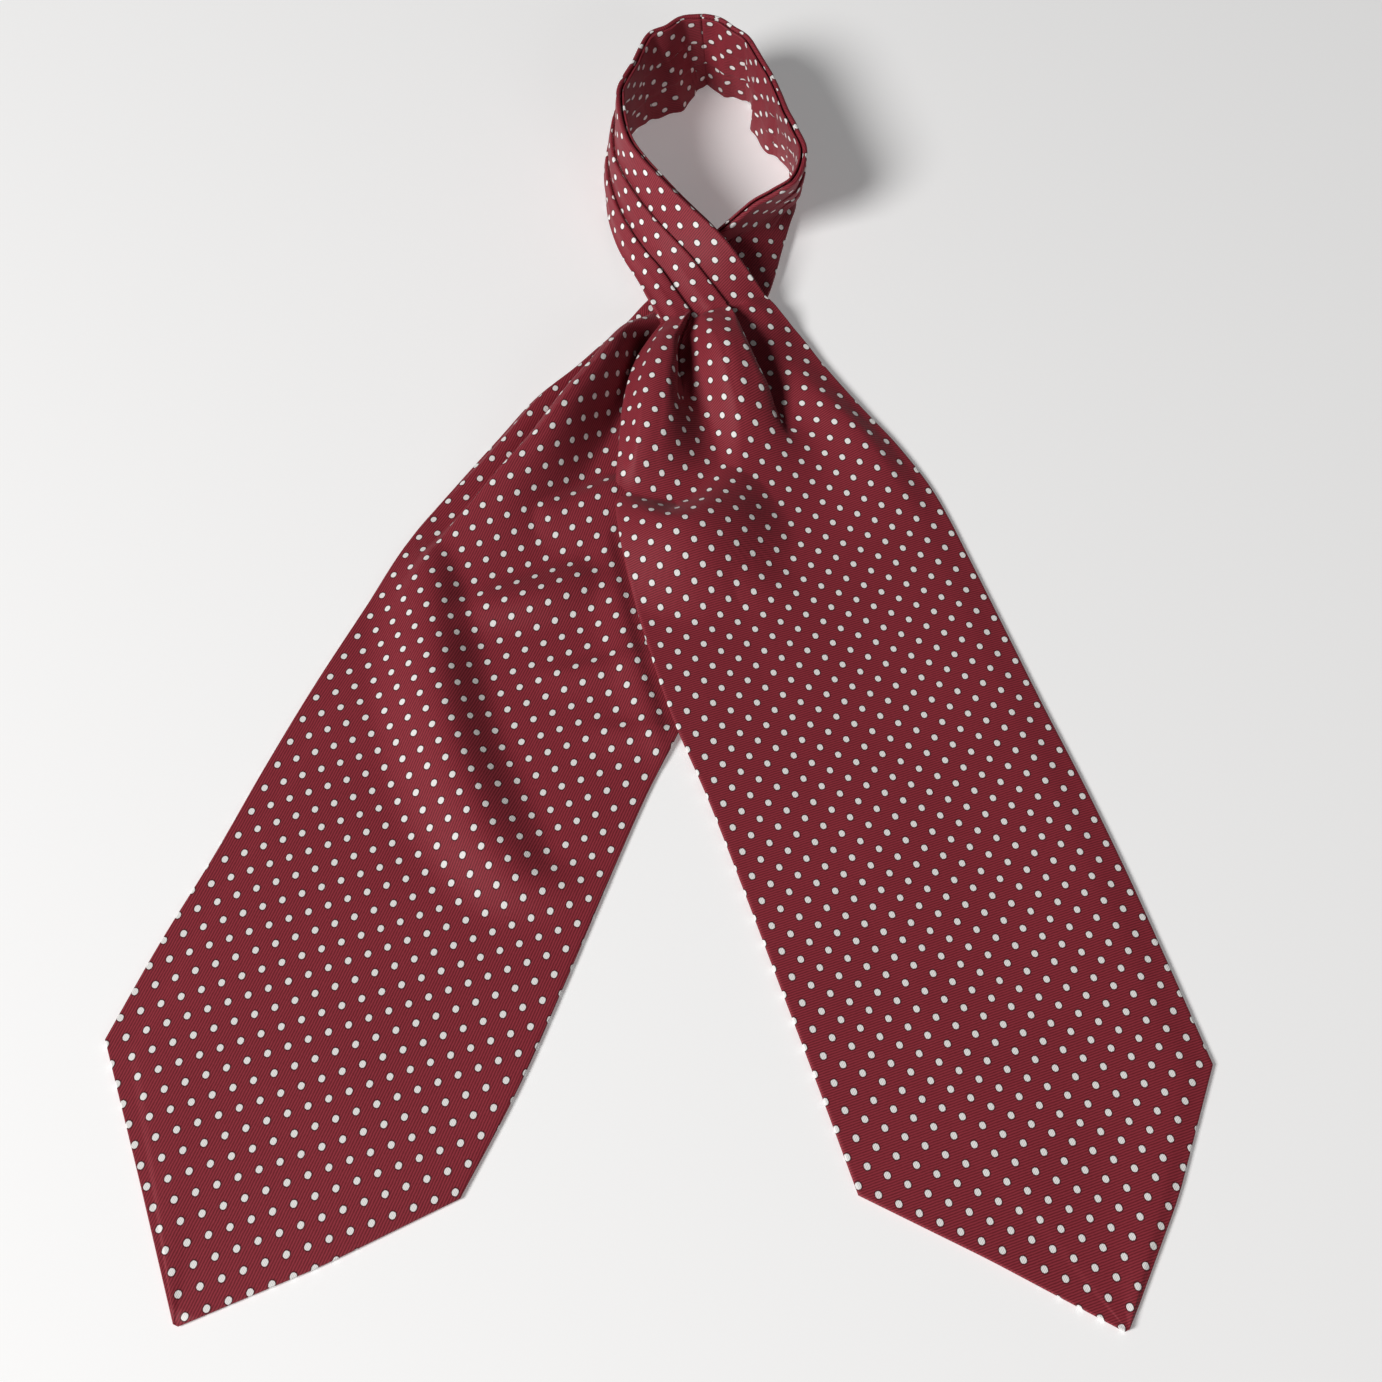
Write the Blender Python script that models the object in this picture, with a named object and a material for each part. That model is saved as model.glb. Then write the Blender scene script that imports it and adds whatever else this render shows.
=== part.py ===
"""Silk day cravat laid out on a flat surface.

Two bias-cut strips meet at the centre back of the neck. Along the neck each is folded
into three knife pleats, and the pleated band stands up in a loop like a collar. The
left-hand band crosses over the right-hand one, its pleats open into two deep folds and
it spreads into the front blade. The right-hand band passes below and becomes the rear
blade. Sizes are in millimetres in the tables and in metres in the meshes.
"""
from collections import namedtuple

import bmesh
import bpy
import numpy as np
from mathutils import Vector
from mathutils.bvhtree import BVHTree

MM = 0.001

BLADE_WALL = 1.6        # two layers of silk twill with a soft interlining
PLEAT_WALL = 1.1        # one pleat of the neckband
FOLD_WALL = 1.5         # the same pleat where it turns round its fold edge
HALF_BAND = 3.0         # half the thickness of the folded neckband
REST_LIFT = 0.2         # keeps the band's lower edge just above the surface
DRAPE_PASSES = 60       # how far the lift over a crossing spreads
DRAPE_REACH = 2.5       # width that is searched for what lies below
DRAPED_STATIONS = 14    # sections of the upper band that pass over the lower one
BAND_CLEAR = 4.4        # from what lies below to the upper band's middle
BLADE_CLEAR = 1.5       # from what lies below to the upper blade's middle
MEET_LENGTH = 22.0      # length over which a blade comes down from the pleats
SEAM_GAP = 0.3          # clear gap where two stretches meet
FOLDED_SHARE = 0.68     # share of a blade's width that carries the deep folds
FOLDED_COLUMNS = 20
PLAIN_COLUMNS = 6
FOLD_ROWS = 22          # rows across the stretch of a blade that carries folds
FLAT_ROWS = 11          # rows across the plain stretch down to the corners
TIP_ROWS = 4            # rows from the corners to the tip
TIP_WIDTH = 1.2
FOLD_END = 0.36         # where the opened folds have died out, as a share of the edge
BAND_STATIONS = 27      # sections along each half of the neckband
BAND_LINES = 33         # lines across the band's middle surface
CENTRE_BACK_ROW = 18    # row of BAND that holds the seam between the two strips
KNEE_ROUND = 12.0       # length on each side of a knee over which it is rounded
KNEE_SAMPLES = 9

WINE = (0.27, 0.018, 0.035, 1.0)
WINE_DEEP = (0.20, 0.012, 0.026, 1.0)

BladeRow = namedtuple("BladeRow", "along left_x left_y right_x right_y")

# The two side edges, from the crossing (0) to the corners of the point (1).
FRONT_EDGES = [
    BladeRow(0.00, -13.2, 191.6, 34.8, 207.6),
    BladeRow(0.06, -23.4, 171.0, 49.5, 191.3),
    BladeRow(0.12, -28.2, 148.8, 61.9, 171.9),
    BladeRow(0.18, -30.6, 123.1, 75.8, 151.4),
    BladeRow(0.25, -32.4, 92.8, 93.0, 128.0),
    BladeRow(0.32, -28.7, 62.9, 107.8, 102.8),
    BladeRow(0.36, -24.6, 46.0, 114.2, 87.4),
    BladeRow(0.40, -20.2, 29.3, 119.8, 71.6),
    BladeRow(0.50, -7.9, -12.3, 133.6, 32.2),
    BladeRow(0.60, 7.6, -52.7, 147.4, -7.4),
    BladeRow(0.70, 21.8, -93.7, 161.7, -46.8),
    BladeRow(0.80, 35.5, -134.9, 175.0, -86.5),
    BladeRow(0.90, 49.2, -175.9, 187.2, -126.5),
    BladeRow(1.00, 62.5, -217.0, 199.1, -166.5),
]
FRONT_POINT = [
    BladeRow(1.00, 62.5, -217.0, 199.1, -166.5),
    BladeRow(1.10, 109.3, -240.9, 180.2, -217.5),
    BladeRow(1.20, 156.4, -266.4, 156.4, -266.4),
]

REAR_EDGES = [
    BladeRow(0.00, -19.2, 208.2, 21.9, 183.5),
    BladeRow(0.06, -37.3, 190.9, 26.0, 164.0),
    BladeRow(0.12, -53.6, 172.6, 26.5, 143.0),
    BladeRow(0.18, -70.4, 155.3, 23.5, 120.5),
    BladeRow(0.25, -87.4, 130.8, 19.0, 95.0),
    BladeRow(0.32, -104.2, 106.2, 14.0, 68.0),
    BladeRow(0.40, -122.6, 77.5, 8.0, 34.0),
    BladeRow(0.50, -141.2, 39.0, -0.5, -8.0),
    BladeRow(0.60, -159.4, 0.5, -18.5, -49.5),
    BladeRow(0.70, -176.2, -38.6, -34.6, -91.8),
    BladeRow(0.80, -192.1, -78.0, -50.2, -134.4),
    BladeRow(0.90, -209.3, -116.9, -66.6, -176.8),
    BladeRow(1.00, -225.0, -156.4, -85.8, -218.2),
]
REAR_POINT = [
    BladeRow(1.00, -225.0, -156.4, -85.8, -218.2),
    BladeRow(1.10, -204.9, -210.5, -134.4, -243.0),
    BladeRow(1.20, -184.9, -264.6, -184.9, -264.6),
]

FoldRow = namedtuple(
    "FoldRow",
    "along left_edge lobe_from lobe_to lobe_high hollow_at hollow_high "
    "ridge_from ridge_to ridge_high valley_at valley_high flank_at flank_high right_edge")

# Heights above the surface across each blade, from its left edge to its right edge:
# a first lobe, the hollow beside it, a second raised fold, the valley at its foot and
# the plain flank. The places are shares of the width.
FRONT_FOLDS = [
    FoldRow(0.00, 7.5, 0.06, 0.25, 9.8, 0.31, 8.2, 0.37, 0.60, 9.6, 0.66, 8.0, 0.86, 8.2, 7.6),
    FoldRow(0.04, 5.0, 0.09, 0.24, 12.0, 0.33, 6.5, 0.41, 0.59, 12.6, 0.67, 5.5, 0.86, 5.5, 3.5),
    FoldRow(0.09, 3.0, 0.10, 0.23, 12.5, 0.335, 3.0, 0.43, 0.55, 15.0, 0.65, 3.0, 0.86, 3.0, 0.8),
    FoldRow(0.14, 2.5, 0.09, 0.21, 10.5, 0.32, 3.0, 0.42, 0.51, 13.0, 0.63, 2.0, 0.87, 2.0, 0.2),
    FoldRow(0.19, 2.0, 0.08, 0.19, 8.0, 0.30, 3.4, 0.40, 0.47, 9.2, 0.62, 1.6, 0.89, 4.0, 0.0),
    FoldRow(0.23, 1.2, 0.07, 0.18, 5.6, 0.28, 2.8, 0.37, 0.43, 5.4, 0.60, 0.8, 0.90, 4.8, 0.0),
    FoldRow(0.26, 0.4, 0.08, 0.18, 1.6, 0.28, 0.9, 0.36, 0.42, 2.0, 0.60, 0.4, 0.90, 4.2, 0.0),
    FoldRow(0.30, 0.0, 0.08, 0.18, 0.2, 0.28, 0.2, 0.35, 0.42, 0.4, 0.60, 0.1, 0.91, 2.4, 0.0),
    FoldRow(0.36, 0.0, 0.08, 0.18, 0.0, 0.28, 0.0, 0.35, 0.42, 0.0, 0.60, 0.0, 0.91, 0.0, 0.0),
]
REAR_FOLDS = [
    FoldRow(0.00, 1.6, 0.02, 0.05, 1.8, 0.08, 2.0, 0.16, 0.34, 3.4, 0.42, 2.2, 0.62, 3.0, 1.8),
    FoldRow(0.05, 0.6, 0.02, 0.03, 0.8, 0.05, 0.8, 0.14, 0.31, 6.8, 0.41, 1.4, 0.62, 3.4, 0.8),
    FoldRow(0.11, 0.3, 0.04, 0.07, 1.0, 0.12, 0.6, 0.20, 0.30, 9.0, 0.41, 0.8, 0.62, 3.6, 0.4),
    FoldRow(0.16, 0.2, 0.05, 0.09, 1.2, 0.16, 0.5, 0.24, 0.30, 8.6, 0.42, 0.6, 0.62, 3.2, 0.2),
    FoldRow(0.21, 0.2, 0.04, 0.08, 1.0, 0.145, 0.4, 0.23, 0.30, 6.6, 0.43, 0.5, 0.62, 2.2, 0.2),
    FoldRow(0.26, 0.1, 0.03, 0.06, 0.5, 0.115, 0.3, 0.19, 0.28, 3.2, 0.42, 0.4, 0.62, 1.0, 0.1),
    FoldRow(0.31, 0.0, 0.02, 0.04, 0.2, 0.08, 0.1, 0.15, 0.25, 1.3, 0.40, 0.1, 0.62, 0.3, 0.0),
    FoldRow(0.36, 0.0, 0.02, 0.04, 0.0, 0.08, 0.0, 0.15, 0.25, 0.0, 0.40, 0.0, 0.62, 0.0, 0.0),
]

CreaseRow = namedtuple("CreaseRow", "along across high half_width")

# The long soft fold that runs slantwise down the rear blade.
REAR_CREASE = [
    CreaseRow(0.37, 0.11, 0.3, 9.0),
    CreaseRow(0.43, 0.19, 2.6, 10.0),
    CreaseRow(0.51, 0.36, 3.4, 11.0),
    CreaseRow(0.59, 0.52, 3.4, 11.0),
    CreaseRow(0.66, 0.67, 2.6, 10.0),
    CreaseRow(0.71, 0.80, 0.3, 9.0),
]

BandRow = namedtuple("BandRow", "low_x low_y knee_x knee_y knee_z rim_x rim_y rim_z")

# The neckband's middle surface, from the crossing round the left side, the back and the
# right side to the crossing again: lower edge, the knee where the section turns, and rim.
# At the front right the lower part flares out and the part above it leans forward.
BAND = [
    BandRow(-13.0, 192.0, 11.0, 200.0, 1.0, 35.0, 208.0, 2.0),
    BandRow(-20.7, 209.2, 1.5, 213.9, 7.9, 24.0, 219.6, 14.0),
    BandRow(-25.8, 222.1, -5.1, 223.8, 12.2, 16.6, 227.0, 22.0),
    BandRow(-30.5, 232.7, -11.7, 232.1, 15.4, 8.7, 233.5, 28.0),
    BandRow(-34.5, 243.6, -17.9, 240.9, 17.4, 0.6, 239.9, 32.5),
    BandRow(-37.3, 253.9, -23.3, 249.3, 19.0, -6.7, 246.5, 36.0),
    BandRow(-39.5, 264.6, -28.4, 258.7, 20.5, -14.5, 254.5, 39.5),
    BandRow(-40.7, 276.1, -32.8, 268.8, 21.6, -21.6, 262.8, 42.0),
    BandRow(-41.0, 289.5, -36.6, 281.3, 22.4, -28.6, 273.9, 44.0),
    BandRow(-40.2, 300.4, -37.4, 291.9, 22.8, -31.6, 283.6, 45.0),
    BandRow(-38.0, 310.4, -36.6, 302.7, 22.9, -33.3, 294.7, 45.5),
    BandRow(-33.0, 319.2, -34.2, 312.9, 23.1, -33.5, 306.0, 46.0),
    BandRow(-28.8, 328.3, -29.9, 321.6, 23.0, -30.5, 315.1, 46.0),
    BandRow(-22.9, 332.7, -25.0, 328.4, 23.0, -26.7, 323.9, 46.0),
    BandRow(-16.9, 335.9, -20.3, 334.8, 23.0, -23.7, 333.7, 46.0),
    BandRow(-9.8, 340.4, -14.5, 341.8, 23.0, -19.2, 343.2, 46.0),
    BandRow(-3.3, 345.6, -8.0, 347.4, 23.0, -11.8, 347.2, 46.0),
    BandRow(2.4, 353.8, -0.9, 353.6, 23.2, -4.1, 353.4, 46.5),
    BandRow(8.1, 360.1, 6.8, 357.6, 23.2, 5.4, 354.5, 46.5),
    BandRow(14.3, 354.7, 14.2, 354.2, 23.2, 13.7, 352.5, 46.5),
    BandRow(21.7, 351.6, 20.9, 349.1, 23.0, 20.1, 346.7, 46.0),
    BandRow(28.2, 347.3, 27.2, 343.8, 23.0, 26.5, 340.7, 46.0),
    BandRow(33.2, 341.6, 31.6, 337.1, 22.8, 30.4, 333.0, 45.5),
    BandRow(33.8, 331.4, 33.8, 328.4, 22.5, 33.9, 325.5, 45.0),
    BandRow(35.2, 321.2, 36.8, 318.9, 22.5, 37.8, 316.0, 45.0),
    BandRow(39.4, 311.5, 40.4, 308.3, 22.2, 41.4, 305.1, 44.5),
    BandRow(46.9, 305.0, 45.7, 299.0, 22.2, 44.4, 293.4, 44.5),
    BandRow(52.2, 295.2, 50.5, 289.3, 22.0, 48.5, 282.8, 44.0),
    BandRow(50.4, 285.5, 51.4, 281.0, 14.0, 52.7, 268.8, 43.0),
    BandRow(49.9, 273.3, 48.2, 273.5, 6.0, 46.8, 251.8, 39.5),
    BandRow(47.4, 261.6, 41.8, 271.0, 3.5, 38.3, 248.8, 33.5),
    BandRow(44.9, 251.3, 35.5, 265.2, 4.5, 29.9, 246.7, 29.0),
    BandRow(42.5, 241.3, 31.8, 260.2, 4.5, 24.7, 244.7, 25.0),
    BandRow(40.4, 231.4, 27.5, 254.0, 4.5, 17.9, 241.5, 20.0),
    BandRow(37.1, 218.7, 21.5, 244.5, 4.5, 9.8, 238.5, 13.0),
    BandRow(32.8, 207.0, 15.5, 231.0, 4.0, 1.0, 228.3, 8.0),
    BandRow(28.0, 195.6, 8.6, 213.5, 3.0, -8.6, 218.4, 4.5),
    BandRow(22.2, 184.0, 1.4, 196.7, 1.0, -19.4, 209.4, 2.0),
]

PleatRow = namedtuple("PleatRow", "name start end ramp_from ramp_to low high")

# Outer pleats: where each starts and ends across the band, and how far out it stands
# before and after it climbs over its neighbour. Its upper end is the fold edge.
LEFT_PLEATS = [
    PleatRow("lower", 0.00, 0.27, 0.02, 0.15, -0.2, 1.4),
    PleatRow("middle", 0.18, 0.61, 0.29, 0.47, -0.2, 1.4),
    PleatRow("upper", 0.52, 1.00, 0.63, 0.90, -0.2, 0.5),
]
RIGHT_PLEATS = [
    PleatRow("lower", 0.00, 0.38, 0.05, 0.24, -0.2, 1.4),
    PleatRow("middle", 0.29, 0.70, 0.40, 0.56, -0.2, 1.4),
    PleatRow("upper", 0.61, 1.00, 0.72, 0.92, -0.2, 0.5),
]

# Inner side of the band: thickness grows to each downward-facing fold edge.
InnerRow = namedtuple("InnerRow", "across depth")
INNER_BACK = -1.0
INNER_STEPS = [
    InnerRow(0.00, -2.3),
    InnerRow(0.11, -2.2),
    InnerRow(0.22, -2.1),
    InnerRow(0.34, -2.0),
    InnerRow(0.355, -2.9),
    InnerRow(0.45, -2.6),
    InnerRow(0.56, -2.3),
    InnerRow(0.66, -2.0),
    InnerRow(0.675, -2.9),
    InnerRow(0.78, -2.6),
    InnerRow(0.89, -2.3),
    InnerRow(1.00, -2.1),
]


def spline(knots, values, wanted):
    """Smooth curve through the rows, with slopes taken from the neighbouring rows."""
    knots = np.asarray(knots, float)
    values = np.asarray(values, float)
    slopes = np.empty_like(values)
    steps = np.diff(knots)[:, None]
    chords = np.diff(values, axis=0) / steps
    slopes[0] = chords[0]
    slopes[-1] = chords[-1]
    slopes[1:-1] = (chords[:-1] * steps[1:] + chords[1:] * steps[:-1]) / (steps[1:] + steps[:-1])
    result = np.empty((len(wanted), values.shape[1]))
    for k, place in enumerate(wanted):
        i = int(np.clip(np.searchsorted(knots, place) - 1, 0, len(knots) - 2))
        span = knots[i + 1] - knots[i]
        t = (place - knots[i]) / span
        rise = t * t * (3 - 2 * t)
        result[k] = (values[i] * (1 - rise) + values[i + 1] * rise
                     + span * (t * (1 - t) ** 2 * slopes[i] - t * t * (1 - t) * slopes[i + 1]))
    return result


def ease(t):
    t = np.clip(t, 0.0, 1.0)
    return t * t * (3 - 2 * t)


def fold_height(row, across):
    """Height of one section at a share of the width, easing from knot to knot."""
    places = [0.0, row.lobe_from, row.lobe_to, row.hollow_at, row.ridge_from, row.ridge_to,
              row.valley_at, row.flank_at, 1.0]
    heights = [row.left_edge, row.lobe_high, row.lobe_high, row.hollow_high, row.ridge_high,
               row.ridge_high, row.valley_high, row.flank_high, row.right_edge]
    i = int(np.clip(np.searchsorted(places, across) - 1, 0, len(places) - 2))
    t = (across - places[i]) / (places[i + 1] - places[i])
    return heights[i] + (heights[i + 1] - heights[i]) * float(ease(t))


def crease_height(rows, points, plan):
    """Soft rounded ridge along the crease's own line, fading at both ends."""
    height = np.zeros(len(points))
    line = np.array([plan(row.along, row.across) for row in rows])
    tops = np.array([row.high for row in rows])
    widths = np.array([row.half_width for row in rows])
    for i in range(len(line) - 1):
        step = line[i + 1] - line[i]
        t = np.clip(((points - line[i]) @ step) / (step @ step), 0.0, 1.0)
        near = np.linalg.norm(points - (line[i] + t[:, None] * step), axis=1)
        top = tops[i] + (tops[i + 1] - tops[i]) * t
        width = widths[i] + (widths[i + 1] - widths[i]) * t
        height = np.maximum(height, top * ease(1.0 - near / width))
    return height


def blade_columns():
    """Shares of the width, closer together where the folds are."""
    folded = np.linspace(0.0, FOLDED_SHARE, FOLDED_COLUMNS)
    plain = np.linspace(FOLDED_SHARE, 1.0, PLAIN_COLUMNS + 1)[1:]
    return np.concatenate([folded, plain])


def blade_rows():
    folds = np.linspace(0.0, FOLD_END, FOLD_ROWS)
    plain = np.linspace(FOLD_END, 1.0, FLAT_ROWS + 1)[1:]
    return np.concatenate([folds, plain])


def blade_surface(edges, point, folds, crease, start_gap):
    """Middle surface of a blade as an array of rows, columns and x, y, height."""
    knots = [row.along for row in edges]
    values = [[row.left_x, row.left_y, row.right_x, row.right_y] for row in edges]
    columns = blade_columns()
    rows = blade_rows()
    sides = spline(knots, values, rows)

    def plan(along, across):
        side = spline(knots, values, [along])[0]
        return side[:2] * (1 - across) + side[2:] * across

    fold_knots = [row.along for row in folds]
    fold_values = [list(row)[1:] for row in folds]
    fields = FoldRow._fields[1:]
    grid = []
    for along, side in zip(rows, sides):
        line = side[None, :2] * (1 - columns[:, None]) + side[None, 2:] * columns[:, None]
        here = [np.interp(along, fold_knots, [v[k] for v in fold_values]) for k in range(len(fields))]
        section = FoldRow(along, *here)
        height = np.array([fold_height(section, c) for c in columns])
        if crease:
            height = np.maximum(height, crease_height(crease, line, plan))
        grid.append(np.column_stack([line, height]))
    point_knots = [row.along for row in point]
    point_values = np.array([list(row)[1:] for row in point])
    half = point_values[0, 2:] - point_values[0, :2]
    half = half / np.linalg.norm(half) * TIP_WIDTH / 2
    point_values[-1, :2] -= half
    point_values[-1, 2:] += half
    for along in np.linspace(1.0, point_knots[-1], TIP_ROWS + 1)[1:]:
        side = np.array([np.interp(along, point_knots, point_values[:, k]) for k in range(4)])
        line = side[None, :2] * (1 - columns[:, None]) + side[None, 2:] * columns[:, None]
        grid.append(np.column_stack([line, np.zeros(len(columns))]))
    grid = np.array(grid)
    ahead = grid[1, :, :2] - grid[0, :, :2]
    ahead /= np.linalg.norm(ahead, axis=1)[:, None]
    grid[0, :, :2] += ahead * start_gap
    grid[:, :, 2] += BLADE_WALL / 2
    return grid


def surface_normals(grid):
    """Unit normals of a grid of points, pointing up on a blade and inward on the band."""
    along = np.gradient(grid, axis=0)
    across = np.gradient(grid, axis=1)
    normal = np.cross(along, across)
    return normal / np.maximum(np.linalg.norm(normal, axis=2), 1e-9)[:, :, None]


def solid_from_loops(name, loops, colour):
    """Closed solid from equal rings of points, one ring for each section, with flat ends."""
    count = len(loops[0])
    mesh = bmesh.new()
    rings = [[mesh.verts.new(Vector(p) * MM) for p in loop] for loop in loops]
    for first, second in zip(rings[:-1], rings[1:]):
        for k in range(count):
            n = (k + 1) % count
            mesh.faces.new((first[k], first[n], second[n], second[k]))
    half = count // 2
    for ring, flip in ((rings[0], True), (rings[-1], False)):
        for k in range(half - 1):
            quad = (ring[k], ring[k + 1], ring[count - 2 - k], ring[count - 1 - k])
            mesh.faces.new(quad[::-1] if flip else quad)
    return finish_solid(name, mesh, colour)


def finish_solid(name, mesh, colour):
    bmesh.ops.recalc_face_normals(mesh, faces=mesh.faces)
    bmesh.ops.triangulate(mesh, faces=mesh.faces)
    data = bpy.data.meshes.new(name)
    mesh.to_mesh(data)
    mesh.free()
    data.shade_smooth()
    data.set_sharp_from_angle(angle=0.7)
    item = bpy.data.objects.new(name, data)
    bpy.context.scene.collection.objects.link(item)
    material = bpy.data.materials.new(name + "_silk")
    material.use_nodes = True
    shader = material.node_tree.nodes["Principled BSDF"]
    shader.inputs["Base Color"].default_value = colour
    shader.inputs["Roughness"].default_value = 0.42
    shader.inputs["Metallic"].default_value = 0.0
    data.materials.append(material)
    return item


def blade_solid(name, grid, colour):
    """Wall of even thickness on the middle surface, its underside flat where it rests."""
    normals = surface_normals(grid)
    normals[0] = (0.0, 0.0, 1.0)
    top = grid + normals * BLADE_WALL / 2
    under = grid - normals * BLADE_WALL / 2
    under[:, :, 2] = np.maximum(under[:, :, 2], 0.0)
    loops = [np.concatenate([top[k], under[k][::-1]]) for k in range(len(grid))]
    return solid_from_loops(name, loops, colour)


def section_points(row, across):
    """Section from the lower edge over the knee to the rim, at even lengths and rounded."""
    corners = np.array([[row.low_x, row.low_y, 0.0],
                        [row.knee_x, row.knee_y, row.knee_z],
                        [row.rim_x, row.rim_y, row.rim_z]])
    steps = np.linalg.norm(np.diff(corners, axis=0), axis=1)
    lengths = np.concatenate([[0.0], np.cumsum(steps)])
    place = across * lengths[-1]
    reach = np.minimum(KNEE_ROUND, np.minimum(place, lengths[-1] - place))
    shares = np.linspace(-1.0, 1.0, KNEE_SAMPLES)
    result = np.zeros((len(across), 3))
    for share in shares:
        for k in range(3):
            result[:, k] += np.interp(place + share * reach, lengths, corners[:, k])
    return result / KNEE_SAMPLES


def band_surface():
    """Middle surface of the whole neckband on even stations along its length."""
    values = np.array([list(row) for row in BAND])
    middle = (values[:, :2] + values[:, 5:7]) / 2
    steps = np.linalg.norm(np.diff(middle, axis=0), axis=1)
    knots = np.concatenate([[0.0], np.cumsum(steps)])
    back = knots[CENTRE_BACK_ROW]
    left = np.linspace(0.0, back - SEAM_GAP / 2, BAND_STATIONS)
    right = np.linspace(back + SEAM_GAP / 2, knots[-1], BAND_STATIONS)
    across = np.linspace(0.0, 1.0, BAND_LINES)
    halves = []
    for stations in (left, right):
        rows = spline(knots, values, stations)
        grid = np.array([section_points(BandRow(*row), across) for row in rows])
        grid[:, :, 2] += np.abs(surface_normals(grid)[:, :1, 2]) * HALF_BAND + REST_LIFT
        halves.append(grid)
    return halves


def band_point(grid, normals, station, across, out):
    """Point at a share of the width and a distance out from the middle surface."""
    place = across * (grid.shape[1] - 1)
    i = int(np.clip(np.floor(place), 0, grid.shape[1] - 2))
    t = place - i
    base = grid[station, i] * (1 - t) + grid[station, i + 1] * t
    normal = normals[station, i] * (1 - t) + normals[station, i + 1] * t
    return base + normal / np.linalg.norm(normal) * out


def pleat_section(row):
    """Ring of (across, out) pairs round one pleat, rounded at its fold edge."""
    middle = (row.ramp_from + row.ramp_to) / 2
    stops = [row.start, row.ramp_from, middle, row.ramp_to, (row.ramp_to + row.end) / 2, row.end]
    inner = []
    outer = []
    for across in stops:
        share = float(ease((across - row.ramp_from) / (row.ramp_to - row.ramp_from)))
        out = row.low + (row.high - row.low) * share
        wall = PLEAT_WALL + (FOLD_WALL - PLEAT_WALL) * share
        inner.append((across, out))
        outer.append((across, out + wall))
    inner[-1] = (row.end - 0.006, inner[-1][1])
    outer[-1] = (row.end - 0.010, outer[-1][1])
    edge_low = (row.end, inner[-1][1] + FOLD_WALL * 0.3)
    edge_high = (row.end, inner[-1][1] + FOLD_WALL * 0.7)
    return inner + [edge_low] + [edge_high] + outer[::-1]


def inner_section():
    """Ring round the inner side's wall, stepped where its two folds show."""
    back = [(row.across, INNER_BACK) for row in INNER_STEPS]
    face = [(row.across, row.depth) for row in INNER_STEPS]
    return back + face[::-1]


def band_normals(left, right):
    """Outward normals of both halves, in upright planes where they meet the blades."""
    both = [-surface_normals(left), -surface_normals(right)]
    for grid, normals, end in ((left, both[0], 0), (right, both[1], -1)):
        across = grid[end, -1] - grid[end, 0]
        ahead = np.array([-across[1], across[0], 0.0])
        ahead /= np.linalg.norm(ahead)
        flat = normals[end] - (normals[end] @ ahead)[:, None] * ahead
        normals[end] = flat / np.linalg.norm(flat, axis=1)[:, None]
    shared = both[0][-1] + both[1][0]
    shared /= np.linalg.norm(shared, axis=1)[:, None]
    both[0][-1] = shared
    both[1][0] = shared
    return both


def band_solid(name, grid, normals, section, colour):
    loops = []
    for station in range(len(grid)):
        loops.append([band_point(grid, normals, station, across, out) for across, out in section])
    return solid_from_loops(name, loops, colour)


def band_half(side, grid, normals, pleats):
    """The three outer pleats and the inner pleats of one half of the neckband."""
    items = []
    for row in pleats:
        name = side + "_" + row.name + "_pleat"
        items.append(band_solid(name, grid, normals, pleat_section(row), WINE))
    name = side + "_inner_pleats"
    items.append(band_solid(name, grid, normals, inner_section(), WINE_DEEP))
    return items


def top_surface(items):
    """One search tree over the solids already laid down, in millimetres."""
    points = []
    faces = []
    for item in items:
        base = len(points)
        points.extend([v.co / MM for v in item.data.vertices])
        faces.extend([[base + i for i in f.vertices] for f in item.data.polygons])
    return BVHTree.FromPolygons(points, faces)


def height_below(tree, x, y, reach):
    """Greatest height of what lies below, within a small reach of the point."""
    best = 0.0
    for dx, dy in ((0, 0), (reach, 0), (-reach, 0), (0, reach), (0, -reach)):
        hit = tree.ray_cast(Vector((x + dx, y + dy, 200.0)), Vector((0, 0, -1)))
        if hit[0] is not None:
            best = max(best, hit[0].z)
    return best


def drape(grid, below, clear, reach, rows):
    """Lift a surface over what it crosses, as a stretched skin would rise above it."""
    need = np.zeros(grid.shape[:2])
    for i in range(rows):
        for j in range(grid.shape[1]):
            under = height_below(below, grid[i, j, 0], grid[i, j, 1], reach)
            if under > 0.0:
                need[i, j] = max(0.0, under + clear - grid[i, j, 2])
    lift = need.copy()
    for _ in range(DRAPE_PASSES):
        padded = np.pad(lift, 1, mode="edge")
        mean = (padded[:-2, 1:-1] + padded[2:, 1:-1] + padded[1:-1, :-2] + padded[1:-1, 2:]) / 4
        lift = np.maximum(need, mean)
        lift[rows:] = 0.0
    result = grid.copy()
    result[:, :, 2] += lift
    return result


def meet_pleats(grid, end_section, pleats, low_edge_first):
    """Bring a blade's first rows up to the faces of the pleats that open into it."""
    columns = blade_columns()
    if not low_edge_first:
        columns = 1.0 - columns
    lines = np.linspace(0.0, 1.0, len(end_section))
    faces = []
    for across in columns:
        out = 0.0
        for row in pleats:
            if row.start <= across <= row.end:
                share = float(ease((across - row.ramp_from) / (row.ramp_to - row.ramp_from)))
                wall = PLEAT_WALL + (FOLD_WALL - PLEAT_WALL) * share
                out = max(out, row.low + (row.high - row.low) * share + wall)
        faces.append(out)
    start = np.interp(columns, lines, end_section[:, 2]) + np.array(faces) - BLADE_WALL / 2
    result = grid.copy()
    away = np.linalg.norm(grid[:, :, :2] - grid[:1, :, :2], axis=2)
    share = 1.0 - ease(away / MEET_LENGTH)
    rise = np.maximum(start[None, :] - grid[:, :, 2], 0.0)
    result[:, :, 2] += rise * share
    return result


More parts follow.
